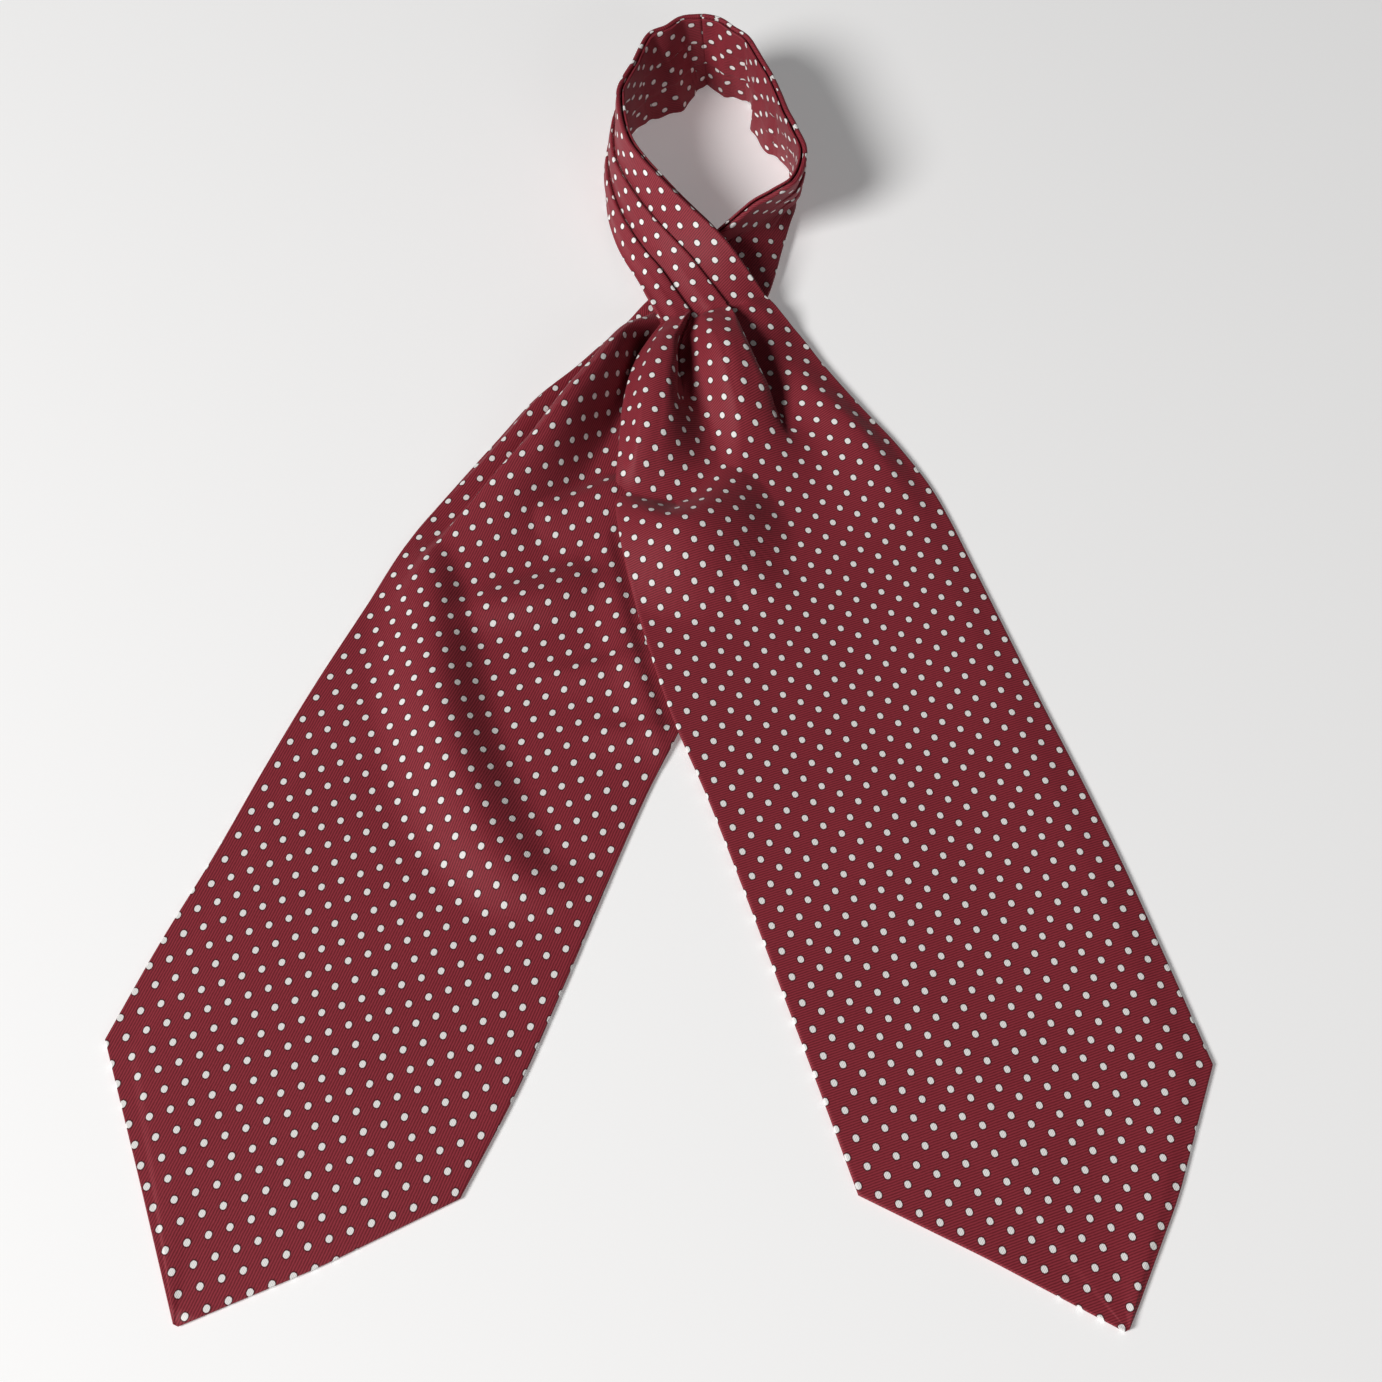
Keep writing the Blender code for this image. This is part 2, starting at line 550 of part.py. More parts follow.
def centre_on_origin(items):
    """Put the origin below the middle of the whole cravat, on the surface it lies on."""
    low = np.full(3, 1e9)
    high = np.full(3, -1e9)
    for item in items:
        for vertex in item.data.vertices:
            low = np.minimum(low, vertex.co)
            high = np.maximum(high, vertex.co)
    shift = Vector(((low[0] + high[0]) / 2, (low[1] + high[1]) / 2, low[2]))
    for item in items:
        for vertex in item.data.vertices:
            vertex.co -= shift
    print("size mm", np.round((high - low) / MM, 1), "shift mm", [round(s / MM, 2) for s in shift])


def build():
    for item in list(bpy.data.objects):
        bpy.data.objects.remove(item, do_unlink=True)
    left, right = band_surface()
    rear = blade_surface(REAR_EDGES, REAR_POINT, REAR_FOLDS, REAR_CREASE, SEAM_GAP)
    rear = meet_pleats(rear, right[-1], RIGHT_PLEATS, low_edge_first=False)
    parts = [blade_solid("rear_blade", rear, WINE)]
    parts += band_half("right", right, band_normals(left, right)[1], RIGHT_PLEATS)
    below = top_surface(parts)
    left = drape(left, below, BAND_CLEAR, DRAPE_REACH, DRAPED_STATIONS)
    parts += band_half("left", left, band_normals(left, right)[0], LEFT_PLEATS)
    front = blade_surface(FRONT_EDGES, FRONT_POINT, FRONT_FOLDS, None, SEAM_GAP)
    front = drape(front, below, BLADE_CLEAR, DRAPE_REACH, FOLD_ROWS + FLAT_ROWS)
    front = meet_pleats(front, left[0], LEFT_PLEATS, low_edge_first=True)
    parts.append(blade_solid("front_blade", front, WINE))
    centre_on_origin(parts)


build()
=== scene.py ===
# %% [markdown]
# # A silk day cravat, laid out on a table
#
# A day cravat is two long strips of silk twill that are joined at the back of the neck.
# Round the neck each strip is folded into three knife pleats, and the pleated band stands
# up in a loop. In front the strips cross, the pleats open, and the silk spreads into two
# pointed blades. This lesson dresses the packed solids of such a cravat: first the camera
# and the light, then the cloth of each strip with its folds, then the silk itself.

from collections import namedtuple
import math

import bmesh
import bpy
import numpy as np
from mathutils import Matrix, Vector
from mathutils.bvhtree import BVHTree


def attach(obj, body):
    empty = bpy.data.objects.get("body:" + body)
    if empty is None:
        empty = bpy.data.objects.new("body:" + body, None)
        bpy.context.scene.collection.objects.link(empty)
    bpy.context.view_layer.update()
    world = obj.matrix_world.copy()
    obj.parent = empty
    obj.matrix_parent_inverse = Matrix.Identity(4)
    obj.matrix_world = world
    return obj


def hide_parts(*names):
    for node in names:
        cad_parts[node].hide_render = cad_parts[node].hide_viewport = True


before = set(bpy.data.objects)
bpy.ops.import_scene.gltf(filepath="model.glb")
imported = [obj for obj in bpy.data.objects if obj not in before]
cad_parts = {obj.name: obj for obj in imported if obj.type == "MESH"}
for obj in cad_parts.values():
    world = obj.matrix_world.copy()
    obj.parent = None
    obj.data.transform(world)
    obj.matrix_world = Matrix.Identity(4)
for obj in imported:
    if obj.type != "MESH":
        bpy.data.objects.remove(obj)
bpy.ops.object.select_all(action="DESELECT")
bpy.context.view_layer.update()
print("solids", sorted(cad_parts))

# %% [markdown]
# ## The camera, the light and the table
#
# The cravat was photographed from above, with the camera leaning about thirty degrees
# back from straight down. A softbox above and a bounce beside it give the silk its broad
# quiet sheen, and the table is plain and pale so that only the cloth draws the eye.

# %% Camera
CAMERA_PLACE = (0.01295, -0.50066, 0.76879)
CAMERA_TILT = 30.5
LENS = 54.99
SENSOR = 36.0
NEAREST = 0.01

camera_data = bpy.data.cameras.new("camera")
camera_data.lens = LENS
camera_data.sensor_width = SENSOR
camera_data.clip_start = NEAREST
camera = bpy.data.objects.new("camera", camera_data)
camera.location = CAMERA_PLACE
camera.rotation_euler = (math.radians(CAMERA_TILT), 0.0, 0.0)
bpy.context.scene.collection.objects.link(camera)
bpy.context.scene.camera = camera
bpy.context.scene.view_settings.view_transform = "Standard"
print("camera", CAMERA_PLACE, "tilt", CAMERA_TILT)

# %% Soft studio light
LightRow = namedtuple("LightRow", "name place aim size power tint")
LIGHTS = [
    LightRow("key_left", (-2.45, -1.45, 2.38), (0.0, 0.05, 0.0), 1.5, 133.0, (1.0, 0.99, 0.98)),
    LightRow("fill_front", (1.6, -2.3, 1.5), (0.0, 0.05, 0.05), 1.2, 7.0, (1.0, 1.0, 1.0)),
]
SKY_TINT = (0.93, 0.93, 0.94, 1.0)
SKY_STRENGTH = 0.04

for row in LIGHTS:
    lamp = bpy.data.lights.new(row.name, "AREA")
    lamp.shape = "DISK"
    lamp.size = row.size
    lamp.energy = row.power
    lamp.color = row.tint
    item = bpy.data.objects.new(row.name, lamp)
    item.location = row.place
    way = Vector(row.aim) - Vector(row.place)
    item.rotation_euler = way.to_track_quat("-Z", "Y").to_euler()
    bpy.context.scene.collection.objects.link(item)

world = bpy.data.worlds.new("studio")
world.use_nodes = True
sky = world.node_tree.nodes["Background"]
sky.inputs["Color"].default_value = SKY_TINT
sky.inputs["Strength"].default_value = SKY_STRENGTH
bpy.context.scene.world = world
print("lights", [row.name for row in LIGHTS])

# %% The table top
TABLE_SIZE = 6.0
TABLE_BELOW = 0.0004        # clear of the cloth's underside
TABLE_PAINT = {"Base Color": (0.93, 0.93, 0.93, 1.0), "Roughness": 0.9,
               "Emission Color": (1.0, 1.0, 1.0, 1.0), "Emission Strength": 0.20}

bpy.ops.mesh.primitive_plane_add(size=TABLE_SIZE, location=(0.0, 0.0, -TABLE_BELOW))
table = bpy.context.object
table.name = "table_top"
table_paint = bpy.data.materials.new("pale_table")
table_paint.use_nodes = True
for socket, value in TABLE_PAINT.items():
    table_paint.node_tree.nodes["Principled BSDF"].inputs[socket].default_value = value
table.data.materials.append(table_paint)
bpy.ops.object.select_all(action="DESELECT")

# %% [markdown]
# ## The pattern of the strips
#
# A tailor works from a few measured lines, and so does this lesson. Each blade has a row
# for every few centimetres, with the places of its left and right edges on the table, in
# millimetres. These rows are the ones that the solids were cut from, so the cloth lies
# where the solids are.

# %% Edges of the two blades
def rows_of(kind, rows):
    """A table: one named row for each line of numbers."""
    return [kind(*row) for row in rows]


BladeRow = namedtuple("BladeRow", "along left_x left_y right_x right_y")

# The two side edges, from the crossing (0) to the corners of the point (1) and its tip.
FRONT_EDGES = rows_of(BladeRow, [
    (0.00, -13.2, 191.6, 34.8, 207.6),
    (0.06, -23.4, 171.0, 49.5, 191.3),
    (0.12, -28.2, 148.8, 61.9, 171.9),
    (0.18, -30.6, 123.1, 75.8, 151.4),
    (0.25, -32.4, 92.8, 93.0, 128.0),
    (0.32, -28.7, 62.9, 107.8, 102.8),
    (0.36, -24.6, 46.0, 114.2, 87.4),
    (0.40, -20.2, 29.3, 119.8, 71.6),
    (0.50, -7.9, -12.3, 133.6, 32.2),
    (0.60, 7.6, -52.7, 147.4, -7.4),
    (0.70, 21.8, -93.7, 161.7, -46.8),
    (0.80, 35.5, -134.9, 175.0, -86.5),
    (0.90, 49.2, -175.9, 187.2, -126.5),
    (1.00, 62.5, -217.0, 199.1, -166.5),
])
FRONT_POINT = FRONT_EDGES[-1:] + rows_of(BladeRow, [
    (1.10, 109.3, -240.9, 180.2, -217.5),
    (1.20, 156.4, -266.4, 156.4, -266.4),
])

REAR_EDGES = rows_of(BladeRow, [
    (0.00, -19.2, 208.2, 21.9, 183.5),
    (0.06, -37.3, 190.9, 26.0, 164.0),
    (0.12, -53.6, 172.6, 26.5, 143.0),
    (0.18, -70.4, 155.3, 23.5, 120.5),
    (0.25, -87.4, 130.8, 19.0, 95.0),
    (0.32, -104.2, 106.2, 14.0, 68.0),
    (0.40, -122.6, 77.5, 8.0, 34.0),
    (0.50, -141.2, 39.0, -0.5, -8.0),
    (0.60, -159.4, 0.5, -18.5, -49.5),
    (0.70, -176.2, -38.6, -34.6, -91.8),
    (0.80, -192.1, -78.0, -50.2, -134.4),
    (0.90, -209.3, -116.9, -66.6, -176.8),
    (1.00, -225.0, -156.4, -85.8, -218.2),
])
REAR_POINT = REAR_EDGES[-1:] + rows_of(BladeRow, [
    (1.10, -204.9, -210.5, -134.4, -243.0),
    (1.20, -184.9, -264.6, -184.9, -264.6),
])

print("rows", len(FRONT_EDGES), len(REAR_EDGES))

# %% [markdown]
# ## The folds that open out of the pleats
#
# Where the pleats end, the cloth does not lie down at once. Across each blade, from its
# left edge to its right edge, there is a first lobe, a hollow, a second raised fold, the
# valley at its foot and a plain flank. A row gives where they are, as shares of the width,
# and how high they stand above the table.

# %% Heights across the blades
FoldRow = namedtuple(
    "FoldRow",
    "along left_edge lobe_from lobe_to lobe_high hollow_at hollow_high "
    "ridge_from ridge_to ridge_high valley_at valley_high flank_at flank_high right_edge")

FRONT_FOLDS = rows_of(FoldRow, [
    (0.00, 8.5, 0.06, 0.245, 9.8, 0.300, 7.6, 0.40, 0.590, 9.6, 0.645, 7.8, 0.86, 8.2, 7.6),
    (0.04, 9.5, 0.09, 0.195, 14.0, 0.245, 2.0, 0.45, 0.585, 14.6, 0.650, 2.6, 0.86, 5.5, 3.5),
    (0.09, 9.8, 0.10, 0.190, 17.4, 0.265, 0.4, 0.49, 0.580, 18.4, 0.660, 0.4, 0.84, 3.4, 1.6),
    (0.14, 9.4, 0.09, 0.180, 17.6, 0.330, 0.3, 0.50, 0.570, 15.2, 0.685, 0.4, 0.86, 3.8, 1.4),
    (0.18, 8.0, 0.08, 0.160, 15.6, 0.365, 0.3, 0.50, 0.560, 9.6, 0.710, 0.6, 0.89, 4.8, 1.4),
    (0.21, 5.4, 0.07, 0.140, 11.4, 0.370, 0.2, 0.48, 0.550, 5.4, 0.730, 1.0, 0.90, 5.2, 1.0),
    (0.235, 2.2, 0.08, 0.150, 3.4, 0.360, 0.2, 0.46, 0.540, 3.4, 0.720, 1.0, 0.90, 5.0, 0.8),
    (0.26, 0.6, 0.08, 0.160, 0.4, 0.330, 0.2, 0.44, 0.520, 2.2, 0.700, 1.0, 0.90, 4.4, 0.6),
    (0.30, 0.4, 0.08, 0.180, 0.2, 0.300, 0.2, 0.42, 0.500, 1.2, 0.640, 0.6, 0.90, 2.8, 0.2),
    (0.36, 0.0, 0.08, 0.180, 0.0, 0.280, 0.0, 0.35, 0.420, 0.2, 0.600, 0.2, 0.90, 0.8, 0.0),
])
REAR_FOLDS = rows_of(FoldRow, [
    (0.00, 1.6, 0.02, 0.05, 1.8, 0.080, 2.0, 0.16, 0.34, 3.4, 0.42, 2.2, 0.62, 3.0, 1.8),
    (0.05, 1.0, 0.02, 0.04, 2.2, 0.080, 0.6, 0.14, 0.17, 13.0, 0.27, 0.2, 0.62, 3.0, 0.8),
    (0.11, 0.8, 0.03, 0.05, 4.0, 0.115, 0.5, 0.17, 0.195, 20.0, 0.34, 0.0, 0.62, 2.6, 0.4),
    (0.16, 0.8, 0.03, 0.055, 4.6, 0.150, 0.5, 0.20, 0.22, 22.0, 0.39, 0.0, 0.62, 2.2, 0.2),
    (0.21, 0.6, 0.03, 0.05, 4.4, 0.145, 0.5, 0.20, 0.22, 21.6, 0.41, 0.0, 0.62, 1.4, 0.2),
    (0.26, 0.4, 0.03, 0.05, 3.2, 0.125, 0.6, 0.18, 0.205, 18.0, 0.42, 0.0, 0.62, 1.0, 0.1),
    (0.31, 0.2, 0.02, 0.04, 1.6, 0.100, 0.6, 0.14, 0.175, 13.0, 0.44, 0.0, 0.62, 0.6, 0.0),
    (0.36, 0.1, 0.02, 0.04, 0.4, 0.080, 0.5, 0.12, 0.18, 8.0, 0.46, 0.4, 0.62, 0.4, 0.0),
    (0.42, 0.0, 0.02, 0.04, 0.0, 0.060, 0.2, 0.10, 0.15, 3.6, 0.42, 0.3, 0.62, 0.2, 0.0),
    (0.50, 0.0, 0.02, 0.04, 0.0, 0.060, 0.0, 0.10, 0.15, 0.4, 0.36, 0.0, 0.62, 0.0, 0.0),
])

print("fold rows", len(FRONT_FOLDS), len(REAR_FOLDS))

# %% [markdown]
# ## The neckband
#
# The band stands on its lower edge and leans a little outwards to its rim. A row gives
# both edges and the knee between them, from the crossing round the left side, the back
# and the right side to the crossing again.

# %% The band's middle surface
BandRow = namedtuple("BandRow", "low_x low_y knee_x knee_y knee_z rim_x rim_y rim_z")

# At the front right the lower part flares out and the part above it leans forward.
BAND = rows_of(BandRow, [
    (-13.0, 192.0, 11.0, 200.0, 1.0, 35.0, 208.0, 2.0),
    (-20.7, 209.2, 1.5, 213.9, 7.9, 24.0, 219.6, 14.0),
    (-25.8, 222.1, -5.1, 223.8, 12.2, 16.6, 227.0, 22.0),
    (-30.5, 232.7, -11.7, 232.1, 15.4, 8.7, 233.5, 28.0),
    (-34.5, 243.6, -17.9, 240.9, 17.4, 0.6, 239.9, 32.5),
    (-37.3, 253.9, -23.3, 249.3, 19.0, -6.7, 246.5, 36.0),
    (-39.5, 264.6, -28.4, 258.7, 20.5, -14.5, 254.5, 39.5),
    (-40.7, 276.1, -32.8, 268.8, 21.6, -21.6, 262.8, 42.0),
    (-41.0, 289.5, -36.6, 281.3, 22.4, -28.6, 273.9, 44.0),
    (-40.2, 300.4, -37.4, 291.9, 22.8, -31.6, 283.6, 45.0),
    (-38.0, 310.4, -36.6, 302.7, 22.9, -33.3, 294.7, 45.5),
    (-33.0, 319.2, -34.2, 312.9, 23.1, -33.5, 306.0, 46.0),
    (-28.8, 328.3, -29.9, 321.6, 23.0, -30.5, 315.1, 46.0),
    (-22.9, 332.7, -25.0, 328.4, 23.0, -26.7, 323.9, 46.0),
    (-16.9, 335.9, -20.3, 334.8, 23.0, -23.7, 333.7, 46.0),
    (-9.8, 340.4, -14.5, 341.8, 23.0, -19.2, 343.2, 46.0),
    (-3.3, 345.6, -8.0, 347.4, 23.0, -11.8, 347.2, 46.0),
    (2.4, 353.8, -0.9, 353.6, 23.2, -4.1, 353.4, 46.5),
    (8.1, 360.1, 6.8, 357.6, 23.2, 5.4, 354.5, 46.5),
    (14.3, 354.7, 14.2, 354.2, 23.2, 13.7, 352.5, 46.5),
    (21.7, 351.6, 20.9, 349.1, 23.0, 20.1, 346.7, 46.0),
    (28.2, 347.3, 27.2, 343.8, 23.0, 26.5, 340.7, 46.0),
    (33.2, 341.6, 31.6, 337.1, 22.8, 30.4, 333.0, 45.5),
    (33.8, 331.4, 33.8, 328.4, 22.5, 33.9, 325.5, 45.0),
    (35.2, 321.2, 36.8, 318.9, 22.5, 37.8, 316.0, 45.0),
    (39.4, 311.5, 40.4, 308.3, 22.2, 41.4, 305.1, 44.5),
    (46.9, 305.0, 45.7, 299.0, 22.2, 44.4, 293.4, 44.5),
    (52.2, 295.2, 50.5, 289.3, 22.0, 48.5, 282.8, 44.0),
    (50.4, 285.5, 51.4, 281.0, 14.0, 52.7, 268.8, 43.0),
    (49.9, 273.3, 48.2, 273.5, 6.0, 46.8, 251.8, 39.5),
    (47.4, 261.6, 41.8, 271.0, 3.5, 38.3, 248.8, 33.5),
    (44.9, 251.3, 35.5, 265.2, 4.5, 29.9, 246.7, 29.0),
    (42.5, 241.3, 31.8, 260.2, 4.5, 24.7, 244.7, 25.0),
    (40.4, 231.4, 27.5, 254.0, 4.5, 17.9, 241.5, 20.0),
    (37.1, 218.7, 21.5, 244.5, 4.5, 9.8, 238.5, 13.0),
    (32.8, 207.0, 15.5, 231.0, 4.0, 1.0, 228.3, 8.0),
    (28.0, 195.6, 8.6, 213.5, 3.0, -8.6, 218.4, 4.5),
    (22.2, 184.0, 1.4, 196.7, 1.0, -19.4, 209.4, 2.0),
])
print("band rows", len(BAND))

# %% [markdown]
# ## Smooth lines through the rows
#
# Cloth has no corners where a row happens to be, so every table is read through a smooth
# curve. The slope at a row comes from its neighbours, as a bent spline would lie.

# %% Curves through rows
MM = 0.001
TINY = 1e-9
PART_SHIFT = np.array([12.95, -47.81, 0.0])    # from the tables' origin to the part's


def ease(t):
    t = np.clip(t, 0.0, 1.0)
    return t * t * (3 - 2 * t)


def spline(knots, values, wanted):
    """Smooth curve through the rows, for any number of columns."""
    knots = np.asarray(knots, float)
    values = np.asarray(values, float)
    steps = np.diff(knots)[:, None]
    chords = np.diff(values, axis=0) / steps
    slopes = np.empty_like(values)
    slopes[0] = chords[0]
    slopes[-1] = chords[-1]
    both = chords[:-1] * steps[1:] + chords[1:] * steps[:-1]
    slopes[1:-1] = both / (steps[1:] + steps[:-1])
    wanted = np.asarray(wanted, float)
    i = np.clip(np.searchsorted(knots, wanted) - 1, 0, len(knots) - 2)
    span = (knots[i + 1] - knots[i])[:, None]
    t = (wanted - knots[i])[:, None] / span
    rise = t * t * (3 - 2 * t)
    return (values[i] * (1 - rise) + values[i + 1] * rise
            + span * (t * (1 - t) ** 2 * slopes[i] - t * t * (1 - t) * slopes[i + 1]))


def column_of(rows, field):
    return np.array([getattr(row, field) for row in rows], float)


def knots_and_values(rows):
    """The first column of a table, and all others."""
    table = np.array(rows, float)
    return table[:, 0], table[:, 1:]


def running_length(points):
    """Length from the first point to each point of a line."""
    return np.concatenate([[0.0], np.cumsum(np.linalg.norm(np.diff(points, axis=0), axis=1))])


def unit(vectors):
    """The same directions with length 1."""
    return vectors / np.maximum(np.linalg.norm(vectors, axis=-1, keepdims=True), TINY)


print("a curve through 0, 1, 0:", spline([0, 1, 2], [[0], [1], [0]], [0.5, 1.5]).ravel())

# %% [markdown]
# ## The section of a fold edge
#
# A knife pleat ends in a fold edge that lies over its neighbour, and what the eye sees is
# a fine dark line where the cloth turns under. Each strip has two such edges. A short
# table gives the way the cloth goes round one: a little crown, a rounded nose, and back
# beneath it. On the blades the same edge opens into a soft slope, so every edge is a mix
# of the crisp way round and an even slope.

# %% The way round a fold edge
NoseRow = namedtuple("NoseRow", "forward fall seen")     # shares; seen is 0 inside the pleat
NOSE = rows_of(NoseRow, [
    (0.00, 0.00, 1.0),
    (0.30, 0.02, 1.0),
    (0.55, 0.07, 1.0),
    (0.72, 0.17, 1.0),
    (0.80, 0.33, 1.0),
    (0.81, 0.52, 1.0),
    (0.74, 0.72, 0.0),
    (0.64, 0.88, 0.0),
    (0.58, 1.04, 0.0),
    (0.68, 1.14, 0.0),
    (0.84, 1.08, 1.0),
    (1.00, 1.00, 1.0),
])
PANEL_STEPS = (30, 44, 44)      # columns in the three panels beside the two edges


def mixed_edge(start, end, crisp):
    """Places across and shares of the fall, for every row, round one fold edge."""
    even = np.linspace(0.0, 1.0, len(NOSE))[None, :]
    crisp = crisp[:, None]
    place = even * (1 - crisp) + column_of(NOSE, "forward")[None, :] * crisp
    fall = np.repeat(column_of(NOSE, "fall")[None, :], len(start), axis=0)
    return start[:, None] + (end - start)[:, None] * place, fall


def even_steps(start, end, steps):
    share = np.linspace(0.0, 1.0, steps + 1)[None, :]
    return start[:, None] * (1 - share) + end[:, None] * share


# %% Columns of a strip
def strip_columns(first, second):
    """Places across for each row, with what each column needs to find its height.

    first and second are (start, end, crisp) for each row. The result holds the place,
    the edge that a column belongs to (0 for none) and its share of that edge's fall."""
    one = np.ones(len(first[0]))
    panel_a = even_steps(one * 0.0, first[0], PANEL_STEPS[0])[:, :-1]
    edge_a, drop_a = mixed_edge(*first)
    panel_b = even_steps(first[1], second[0], PANEL_STEPS[1])[:, 1:-1]
    edge_b, drop_b = mixed_edge(*second)
    panel_c = even_steps(second[1], one, PANEL_STEPS[2])[:, 1:]
    place = np.concatenate([panel_a, edge_a, panel_b, edge_b, panel_c], axis=1)
    kind = np.repeat([0, 1, 0, 2, 0], [panel_a.shape[1], len(NOSE), panel_b.shape[1],
                                       len(NOSE), panel_c.shape[1]])
    drop = np.zeros_like(place)
    drop[:, kind == 1] = drop_a
    drop[:, kind == 2] = drop_b
    return place, kind, drop


def with_edges(height_at, place, kind, drop, first, second):
    """Heights for all columns: the profile itself, and its fall round each edge."""
    height = height_at(place)
    for number, (start, end, crisp) in ((1, first), (2, second)):
        before = height_at(start[:, None])
        after = height_at(end[:, None])
        columns = kind == number
        sharp = before + (after - before) * drop[:, columns]
        height[:, columns] += (sharp - height[:, columns]) * crisp[:, None]
    return height


print("columns", sum(PANEL_STEPS) + 2 * len(NOSE) - 1)

# %% [markdown]
# ## The neckband's surface
#
# The band's middle surface comes from its rows. The knee is rounded, because cloth that
# is folded eight layers deep can't turn in a sharp line. The pleats then stand out from
# this surface by a millimetre or three, each climbing slowly to its fold edge.

# %% The band between its two edges
HALF_BAND = 3.0         # half of the folded band's thickness; all sizes in millimetres
REST_LIFT = 0.2         # how far the lower edge is clear of the table
SEAM_GAP = 0.3
CENTRE_BACK_ROW = 18
KNEE_ROUND = 12.0       # how far to each side the knee's corner is rounded
KNEE_SAMPLES = 9
BASE_LINES = 49         # even lines across the band

band_values = np.array(BAND)
band_knots = running_length((band_values[:, :2] + band_values[:, 5:7]) / 2)
centre_back = band_knots[CENTRE_BACK_ROW]
band_length = band_knots[-1]


def section_points(row, across):
    """Points of one upright section, from the lower edge over the knee to the rim."""
    corners = np.array([[row[0], row[1], 0.0], row[2:5], row[5:8]])
    lengths = running_length(corners)
    place = across * lengths[-1]
    reach = np.minimum(KNEE_ROUND, np.minimum(place, lengths[-1] - place))
    result = np.zeros((len(across), 3))
    for share in np.linspace(-1.0, 1.0, KNEE_SAMPLES):
        for k in range(3):
            result[:, k] += np.interp(place + share * reach, lengths, corners[:, k])
    return result / KNEE_SAMPLES


def surface_normals(grid):
    return unit(np.cross(np.gradient(grid, axis=0), np.gradient(grid, axis=1)))


base_across = np.linspace(0.0, 1.0, BASE_LINES)


def band_base(stations, lines):
    """Middle surface on the lines across the band, resting on the table."""
    rows = spline(band_knots, band_values, stations)
    grid = np.array([section_points(row, lines) for row in rows])
    lean = np.abs(surface_normals(grid)[:, :1, 2])
    grid[:, :, 2] += lean * HALF_BAND + REST_LIFT
    return grid


def upright_at_end(grid, normals, end):
    """Turn the end's normals into the upright plane where the band meets its blade."""
    across = grid[end, -1] - grid[end, 0]
    ahead = unit(np.array([-across[1], across[0], 0.0]))
    normals[end] = unit(normals[end] - (normals[end] @ ahead)[:, None] * ahead)


def look_up(grid, place):
    """Values of an even grid at any places across, row by row."""
    result = np.empty(place.shape + (grid.shape[2],))
    for i in range(len(grid)):
        for k in range(grid.shape[2]):
            result[i, :, k] = np.interp(place[i], base_across, grid[i, :, k])
    return result


print("band length mm", round(float(band_length), 1),
      "centre back at", round(float(centre_back), 1))

# %% [markdown]
# ## Cloth that crosses other cloth
#
# The left strip lies over the right one. A ray is dropped on the packed solids of the
# right strip at each point of a coarse net, and the net is lifted clear of what the ray
# meets. The lift then spreads out and fades, as a stretched cloth rises before a bump.

# %% Lifting a net over what lies below
BLADE_WALL = 1.6        # how high a blade's top stands over its fold rows, in millimetres
BAND_CLEAR = 4.4        # how far the band's middle keeps above the cloth below it
BLADE_CLEAR = 1.5
DRAPE_REACH = 2.5       # how far beside a point the ray looks too
DRAPE_PASSES = 60
DRAPED_STATIONS = 14    # of the band, counted from the crossing
COARSE_STATIONS = 27
COARSE_LINES = 33
FOLDED_SHARE = 0.68     # a blade's net is finer up to this share of its width
FOLD_END = 0.36         # and up to this share of its length
FOLDED_LINES, PLAIN_LINES = 20, 6
FOLDED_NET_ROWS, PLAIN_NET_ROWS = 22, 11
RAY_START = 0.2         # metres


def two_spacings(turn, fine, plain):
    """Places from 0 to 1, with one spacing up to the turn and another after it."""
    return np.concatenate([np.linspace(0.0, turn, fine), np.linspace(turn, 1.0, plain + 1)[1:]])


coarse_columns = two_spacings(FOLDED_SHARE, FOLDED_LINES, PLAIN_LINES)
coarse_rows = two_spacings(FOLD_END, FOLDED_NET_ROWS, PLAIN_NET_ROWS)


def tree_of(names):
    """One search tree over packed solids."""
    points, faces = [], []
    for name in names:
        base = len(points)
        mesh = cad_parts[name].data
        points.extend(v.co.copy() for v in mesh.vertices)
        faces.extend([base + i for i in f.vertices] for f in mesh.polygons)
    return BVHTree.FromPolygons(points, faces)


def height_below(tree, x, y, reach):
    """Greatest height of what lies below, in millimetres, near a point of the tables."""
    best = 0.0
    for dx, dy in ((0, 0), (reach, 0), (-reach, 0), (0, reach), (0, -reach)):
        above = (np.array([x + dx, y + dy, 0.0]) + PART_SHIFT) * MM
        place = tree.ray_cast(Vector((above[0], above[1], RAY_START)), Vector((0, 0, -1)))[0]
        if place is not None:
            best = max(best, place.z / MM)
    return best


def lift_over(grid, tree, clear, rows):
    """How far each point of a net is lifted over what lies below it."""
    need = np.zeros(grid.shape[:2])
    for i in range(rows):
        for j in range(grid.shape[1]):
            under = height_below(tree, grid[i, j, 0], grid[i, j, 1], DRAPE_REACH)
            if under > 0.0:
                need[i, j] = max(0.0, under + clear - grid[i, j, 2])
    lift = need.copy()
    for _ in range(DRAPE_PASSES):
        padded = np.pad(lift, 1, mode="edge")
        mean = (padded[:-2, 1:-1] + padded[2:, 1:-1] + padded[1:-1, :-2] + padded[1:-1, 2:]) / 4
        lift = np.maximum(need, mean)
        lift[rows:] = 0.0
    return lift


right_tree = tree_of(["rear_blade", "right_lower_pleat", "right_middle_pleat",
                      "right_upper_pleat", "right_inner_pleats"])
coarse_stations = np.linspace(0.0, centre_back - SEAM_GAP / 2, COARSE_STATIONS)
coarse_lines = np.linspace(0.0, 1.0, COARSE_LINES)
band_lift = lift_over(band_base(coarse_stations, coarse_lines), right_tree, BAND_CLEAR,
                      DRAPED_STATIONS)
print("most lift of the left band mm", round(float(band_lift.max()), 1))

